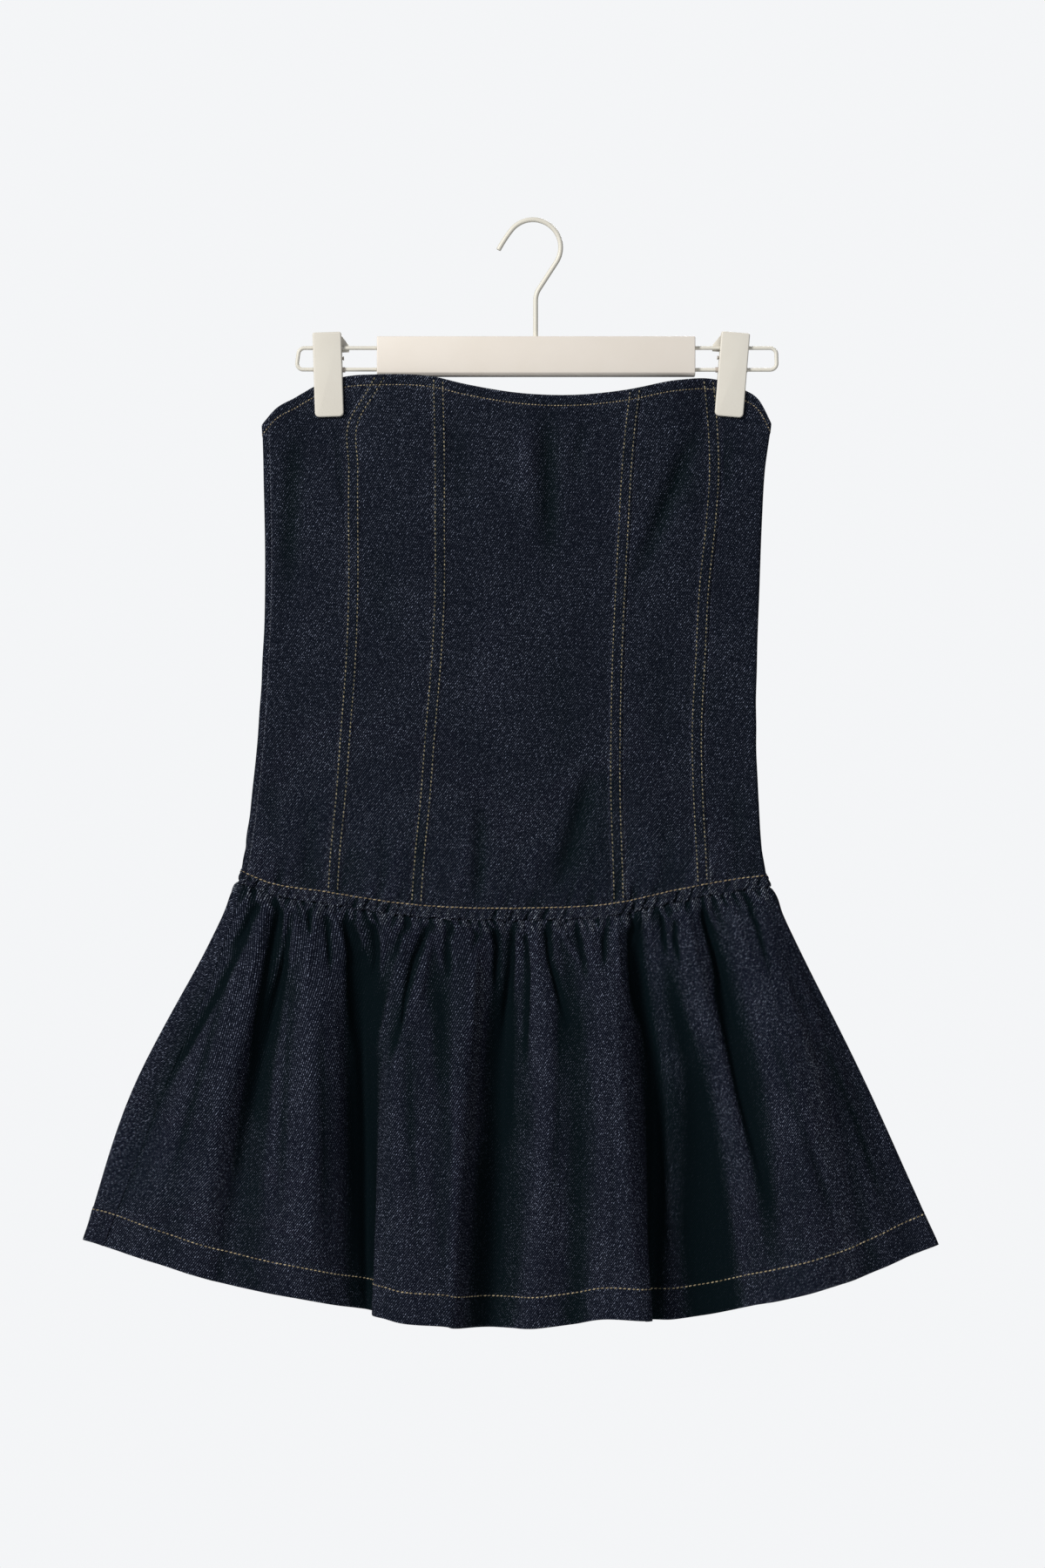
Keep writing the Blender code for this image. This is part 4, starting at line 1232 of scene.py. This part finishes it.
def addBox(size, place):  # in edit mode, with nothing selected and its sizes and place in mm
    alone()
    bpy.ops.mesh.primitive_cube_add(size=1, location=[c * mm for c in place], scale=[c * mm for c in size])
    bpy.ops.object.transform_apply(location=True, rotation=False, scale=True)
    bpy.ops.object.mode_set(mode="EDIT")
    return bpy.context.object


def pick(kind, test):
    # selects the edges or faces of the piece in edit mode whose corners, in mm, pass the test
    bpy.ops.mesh.select_mode(type={"edges": "EDGE", "faces": "FACE"}[kind])
    bpy.ops.mesh.select_all(action="DESELECT")
    mesh = bpy.context.object.data
    shape = bmesh.from_edit_mesh(mesh)
    for item in getattr(shape, kind):
        if test(np.array([corner.co for corner in item.verts]) / mm):
            item.select_set(True)
    shape.select_flush_mode()
    bmesh.update_edit_mesh(mesh)


def bevel(width, steps):
    bpy.ops.mesh.bevel(offset=width * mm, segments=steps, affect="EDGES")


def recess(*stages):  # into the picked faces, with the width and depth of each step in mm
    for width, depth in stages:
        bpy.ops.mesh.inset(thickness=width * mm, depth=depth * mm)


def finishPiece(name, material, nodes=(), lean=0.0, middle=(0, 0, 0), parts=()):
    # joins the parts, leans the piece about its middle and leaves it at the origin
    alone()
    piece = parts[0] if parts else bpy.context.object
    for each in parts or (piece,):
        each.select_set(True)
    bpy.context.view_layer.objects.active = piece
    if len(parts) > 1:
        bpy.ops.object.join()
    bpy.ops.object.mode_set(mode="EDIT")
    bpy.ops.mesh.select_all(action="SELECT")
    bpy.ops.mesh.normals_make_consistent(inside=False)
    bpy.ops.object.mode_set(mode="OBJECT")
    piece.location = [c * mm for c in middle]
    piece.rotation_euler = (0, math.radians(lean), 0)
    bpy.ops.object.transform_apply(location=True, rotation=True, scale=True)
    bpy.ops.object.shade_smooth_by_angle(angle=math.radians(35))
    piece.name = name
    piece.data.name = name
    piece.data.materials.clear()
    piece.data.materials.append(material)
    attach(piece, "root")
    if nodes:
        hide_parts(*nodes)
    return piece


def startWire(point, heading, width):
    # a disc at a wire's end, facing its heading in degrees from +x towards +z
    alone()
    bpy.ops.mesh.primitive_circle_add(
        vertices=hanger["sides"],
        radius=width / 2 * mm,
        fill_type="NGON",
        location=(point[0] * mm, 0, point[1] * mm),
        rotation=(0, math.radians(90 - heading), 0),
    )
    bpy.ops.object.transform_apply(location=True, rotation=True, scale=True)
    bpy.ops.object.mode_set(mode="EDIT")
    bpy.ops.mesh.select_all(action="SELECT")


def straight(length, heading):
    way = math.radians(heading)
    move = (length * math.cos(way) * mm, 0, length * math.sin(way) * mm)
    bpy.ops.mesh.extrude_region_move(TRANSFORM_OT_translate={"value": move})


def bend(degrees, centre, steps):  # clockwise as seen from the front where it is above 0
    middle = (centre[0] * mm, 0, centre[1] * mm)
    bpy.ops.mesh.spin(steps=steps, angle=math.radians(degrees), center=middle, axis=(0, -1, 0))


def addRod(radius, length, place, sides, ease):
    # a rod along x with eased ends, in edit mode, its sizes and place in mm
    alone()
    bpy.ops.mesh.primitive_cylinder_add(
        vertices=sides,
        radius=radius * mm,
        depth=length * mm,
        location=[c * mm for c in place],
        rotation=(0, math.pi / 2, 0),
    )
    bpy.ops.object.transform_apply(location=True, rotation=True, scale=True)
    bpy.ops.object.mode_set(mode="EDIT")
    pick("edges", lambda ends: np.ptp(ends[:, 0]) < 0.01)
    bevel(ease, 2)
    return bpy.context.object


def makeBar():
    left, right, top, bottom = [hanger[side] for side in ("barLeft", "barRight", "barTop", "barBottom")]
    addBox((right - left, hanger["barDepth"], top - bottom), ((right + left) / 2, 0, (top + bottom) / 2))
    pick("edges", lambda ends: np.ptp(ends[:, 0]) > 1 and ends[:, 2].max() < bottom + 0.01)
    bevel(hanger["barChamfer"], 1)
    bpy.ops.mesh.select_all(action="SELECT")
    bevel(hanger["barRound"], 3)
    # a shallow recess in each end and a deeper one under the bar
    for low, high in ((left - 1, left + 0.01), (right - 0.01, right + 1)):
        pick("faces", lambda corners: corners[:, 0].min() > low and corners[:, 0].max() < high)
        recess(*hanger["endRecess"])
    pick("faces", lambda corners: corners[:, 2].max() < bottom + 0.01)
    recess(*hanger["underRecess"])
    finishPiece("bar", creamBar, ["hanger_bar"])


def onRing(middle, radius, degrees):
    way = math.radians(degrees)
    return np.array(middle) + radius * np.array([math.cos(way), math.sin(way)])


def makeHook():
    turn, radius, middle = hanger["hookTurn"], hanger["hookRadius"], hanger["hookMiddle"]
    tipRadius, tipTurn = hanger["hookTip"]
    start = 180 - hanger["hookStart"]
    tipMiddle = onRing(onRing(middle, radius, start), tipRadius, start - 180)
    tip = onRing(tipMiddle, tipRadius, start + tipTurn)
    heading = start + tipTurn - 90
    startWire(tip, heading, hanger["hookWire"])
    bend(tipTurn, tipMiddle, 5)
    bend(start + turn, middle, 36)
    straight(hanger["hookNeck"], 270 - turn)
    # the neck turns back down on to the stem
    bottom = onRing(onRing(middle, radius, -turn), hanger["hookNeck"], 270 - turn)
    neckRadius = (bottom[0] - hanger["stemX"]) / (1 - math.cos(math.radians(turn)))
    stemTop = bottom[1] - neckRadius * math.sin(math.radians(turn))
    bend(-turn, (hanger["stemX"] + neckRadius, stemTop), 10)
    straight(stemTop - hanger["barTop"] - hanger["gap"], -90)
    # the cut tip is eased
    way = onRing((0, 0), 1, heading)
    pick("edges", lambda ends: np.abs((ends - [tip[0], 0, tip[1]]) @ [way[0], 0, way[1]]).max() < 0.01)
    bevel(0.35, 2)
    finishPiece("hook", creamWire, ["hanger_hook"])


def makeLoop(name, barEnd, loopEnd, side):
    corner, top, bottom = hanger["loopCorner"], hanger["loopTop"], hanger["loopBottom"]
    lean = hanger["loopLeans"][side > 0]
    outward = 0 if side > 0 else 180
    slant = math.radians(lean)
    # from the top wire's end round a tight and then a wider corner to the lower wire
    topMiddle = np.array([loopEnd - side * (corner + hanger["loopInset"]), top - corner])
    start = topMiddle + corner * np.array([side * math.cos(slant), math.sin(slant)])
    depth = start[1] - (bottom + corner - corner * math.sin(slant))
    lowMiddle = np.array([topMiddle[0] + side * depth * math.tan(slant), 0])
    lowMiddle[1] = bottom + corner
    startWire((barEnd, top), outward, hanger["wire"])
    straight(abs(topMiddle[0] - barEnd), outward)
    bend(side * (90 - lean), topMiddle, 12)
    straight(np.hypot(*(lowMiddle - topMiddle)), -90 + side * lean)
    bend(side * (90 + lean), lowMiddle, 12)
    straight(abs(lowMiddle[0] - barEnd), outward + 180)
    finishPiece("loop_" + name, creamWire, ["hanger_loop_" + name])


def makePlate(name, face, thick, leanAbout, lean):
    # a pressed plate with rounded corners and an eased outline on its outer side
    near = cut["pinched"] + hanger["gap"]
    plate = addBox((clip["width"], thick, clip["height"]), (0, face * (near + thick / 2), 0))
    outer = face * (near + thick)
    for side, corner in ((-1, clip["lowCorner"]), (1, clip["topCorner"])):
        pick("edges", lambda ends: np.ptp(ends[:, 1]) > 0.5 and (ends[:, 2] * side).min() > 1)
        bevel(corner, 6)
    pick("edges", lambda ends: np.abs(ends[:, 1] - outer).max() < 0.01)
    bevel(min(clip["round"], thick * 0.45), 4)
    parts = [plate]
    if face > 0:  # the back plate's cheek shows beside the front one, towards the bar
        inner = -1 if name.startswith("right") else 1
        width, deep, tall = clip["cheek"]
        edge, top = clip["width"] / 2, clip["height"] / 2
        across = inner * (edge + width / 2 - clip["cheekIn"])
        up = top - tall / 2 - clip["cheekDown"]
        cheek = addBox(clip["cheek"], (across, near - deep / 2, up))
        bpy.ops.mesh.select_all(action="SELECT")
        inward, down = clip["cheekCut"]
        corner = (inner * (edge - inward) * mm, 0, (top - down) * mm)
        slant = (inner * 0.82, 0, 0.57)
        bpy.ops.mesh.bisect(plane_co=corner, plane_no=slant, use_fill=True, clear_outer=True)
        bpy.ops.mesh.select_all(action="SELECT")
        bevel(0.25, 2)
        parts.append(cheek)
    label = name + ("_front" if face < 0 else "_back")
    finishPiece("plate_" + label, creamClip, ["clip_" + label], lean, leanAbout, parts)


def makePivot(name, x, lean, leanAbout, inner):
    # a pin with its spring between the wires, and a sleeve that slides on the lower wire
    pinZ = (hanger["loopTop"] + hanger["loopBottom"]) / 2 - leanAbout[2]
    pin = addRod(clip["pinRadius"], clip["width"] + clip["pinOver"], (inner * 0.6, 0, pinZ), 20, 0.25)
    thicker, length = clip["pinHead"]
    headPlace = (inner * (clip["width"] / 2 + 1.0), 0, pinZ)
    head = addRod(clip["pinRadius"] + thicker, length, headPlace, 20, 0.25)
    alone()
    length = clip["width"] * clip["coilShare"]
    bpy.ops.mesh.primitive_circle_add(
        vertices=8,
        radius=clip["coilWire"] * mm,
        location=(-length / 2 * mm, 0, (pinZ + clip["coilRadius"]) * mm),
        rotation=(math.pi / 2, 0, 0),
    )
    coil = bpy.context.object
    bpy.ops.object.transform_apply(location=False, rotation=True, scale=True)
    bpy.context.scene.cursor.location = (-length / 2 * mm, 0, pinZ * mm)
    bpy.ops.object.origin_set(type="ORIGIN_CURSOR")
    turns = coil.modifiers.new("Turns", "SCREW")
    turns.axis = "X"
    turns.angle = 2 * math.pi * clip["coilTurns"]
    turns.screw_offset = length * mm
    turns.steps = turns.render_steps = 14 * clip["coilTurns"]
    turns.merge_threshold = 0.00001
    bpy.ops.object.modifier_apply(modifier="Turns")
    bpy.ops.object.mode_set(mode="EDIT")
    bpy.ops.mesh.select_all(action="SELECT")
    bpy.ops.mesh.select_mode(type="EDGE")
    bpy.ops.mesh.select_all(action="DESELECT")
    bpy.ops.mesh.select_non_manifold()
    bpy.ops.mesh.edge_face_add()
    bpy.ops.object.mode_set(mode="OBJECT")
    bpy.ops.object.transform_apply(location=True, rotation=True, scale=True)
    parts = [pin, head, coil]
    finishPiece("pivot_" + name, dullMetal, ["clip_" + name + "_pivot"], lean, leanAbout, parts)

    # the sleeve lies level, on the wire
    sleeveX = x + math.tan(math.radians(lean)) * (hanger["loopBottom"] - leanAbout[2])
    sleevePlace = (sleeveX + inner * 0.9, 0, hanger["loopBottom"])
    addRod(clip["sleeveRadius"], clip["width"] + clip["sleeveOver"], sleevePlace, 24, 0.3)
    pick("faces", lambda corners: np.ptp(corners[:, 0]) < 0.01)
    recess(clip["sleeveRecess"])
    finishPiece("sleeve_" + name, dullMetal)


creamBar = paint("cream_bar", (0.740, 0.685, 0.620), (0.725, 0.668, 0.600), 0.45, 900.0)
creamWire = paint("cream_wire", (0.700, 0.675, 0.600), (0.680, 0.650, 0.570), 0.40, 1500.0)
creamClip = paint("cream_clip", (0.690, 0.660, 0.590), (0.670, 0.635, 0.565), 0.38, 1200.0)
dullMetal = paint("dull_metal", (0.470, 0.415, 0.360), (0.400, 0.350, 0.300), 0.42, 1500.0)
makeBar()
makeHook()
makeLoop("left", hanger["barLeft"] - hanger["gap"], hanger["loopEnds"][0], -1)
makeLoop("right", hanger["barRight"] + hanger["gap"], hanger["loopEnds"][1], 1)
for side, x, lean in zip(*clipPlaces.values()):
    label = "left" if side < 0 else "right"
    about = (x, 0, clip["top"] - clip["height"] / 2)
    makePlate(label, -1, clip["frontThick"], about, lean)
    makePlate(label, 1, clip["backThick"], about, lean)
    makePivot(label, x, lean, about, -side)
print("The hanger is made")


# Camera, floor and light

view = {"middle": (-7.5 * mm, -438.6 * mm), "distance": 2.6, "height": 1.224}
camera = bpy.data.cameras.new("camera")
camera.sensor_width = 36
camera.lens = 36 * view["distance"] / view["height"]
cameraObject = bpy.data.objects.new("camera", camera)
cameraObject.location = (view["middle"][0], -view["distance"], view["middle"][1])
cameraObject.rotation_euler = (math.radians(90), 0, 0)
bpy.context.scene.collection.objects.link(cameraObject)
bpy.context.scene.camera = cameraObject

studio = {
    "floorHeight": -1.6,
    "floorRadius": 2.3,
    "floorFade": (0.7, 2.231),  # it fades into the backdrop between these
    "floorColour": (0.86, 0.87, 0.885),
    "pale": (0.905, 0.915, 0.930),
    "ambient": 0.12,
    "aim": (0, 0, -0.45),
    "key": {"place": (-4.2, -4.4, 2.65), "size": 2.0, "power": 500.0, "colour": (1.0, 0.985, 0.96)},
    "fill": {"place": (1.2, -3.3, 0.4), "size": 2.4, "power": 24.0, "colour": (0.95, 0.97, 1.0)},
    "back": {"place": (1.2, 2.8, 1.6), "size": 2.0, "power": 90.0, "colour": (1.0, 1.0, 1.0)},
}
for name in ("key", "fill", "back"):
    light = studio[name]
    lamp = bpy.data.lights.new(name, "AREA")
    lamp.shape, lamp.size = "DISK", light["size"]
    lamp.energy, lamp.color = light["power"], light["colour"]
    lampObject = bpy.data.objects.new(name, lamp)
    lampObject.location = light["place"]
    aim = Vector(studio["aim"]) - Vector(light["place"])
    lampObject.rotation_euler = aim.to_track_quat("-Z", "Y").to_euler()
    bpy.context.scene.collection.objects.link(lampObject)

world = bpy.data.worlds.new("studio")
world.use_nodes = True
nodes, links = world.node_tree.nodes, world.node_tree.links
seen = nodes["Background"]
seen.inputs["Color"].default_value = (*studio["pale"], 1)
lit = nodes.new("ShaderNodeBackground")
lit.inputs["Color"].default_value = (*studio["pale"], 1)
lit.inputs["Strength"].default_value = studio["ambient"]
ray, choose = nodes.new("ShaderNodeLightPath"), nodes.new("ShaderNodeMixShader")
links.new(ray.outputs["Is Camera Ray"], choose.inputs[0])
links.new(lit.outputs[0], choose.inputs[1])
links.new(seen.outputs[0], choose.inputs[2])
links.new(choose.outputs[0], nodes["World Output"].inputs[0])
bpy.context.scene.world = world

bpy.ops.object.select_all(action="DESELECT")
bpy.ops.mesh.primitive_circle_add(
    vertices=96, radius=studio["floorRadius"], fill_type="NGON", location=(0, 0, studio["floorHeight"])
)
floor = bpy.context.object
floor.name = "floor"
floorFinish = Finish("floor", Roughness=0.9)
place = floorFinish.node("ShaderNodeTexCoord", output=3)
away = floorFinish.node("ShaderNodeVectorMath", {"operation": "LENGTH"}, [place], 1)
floorFinish.shader.inputs["Base Color"].default_value = (*studio["floorColour"], 1)
floorFinish.give("Alpha", 1 - away.between(*studio["floorFade"]))
floor.data.materials.append(floorFinish.material)
bpy.context.scene.view_settings.view_transform = "Standard"
print("The camera, floor and light are set")
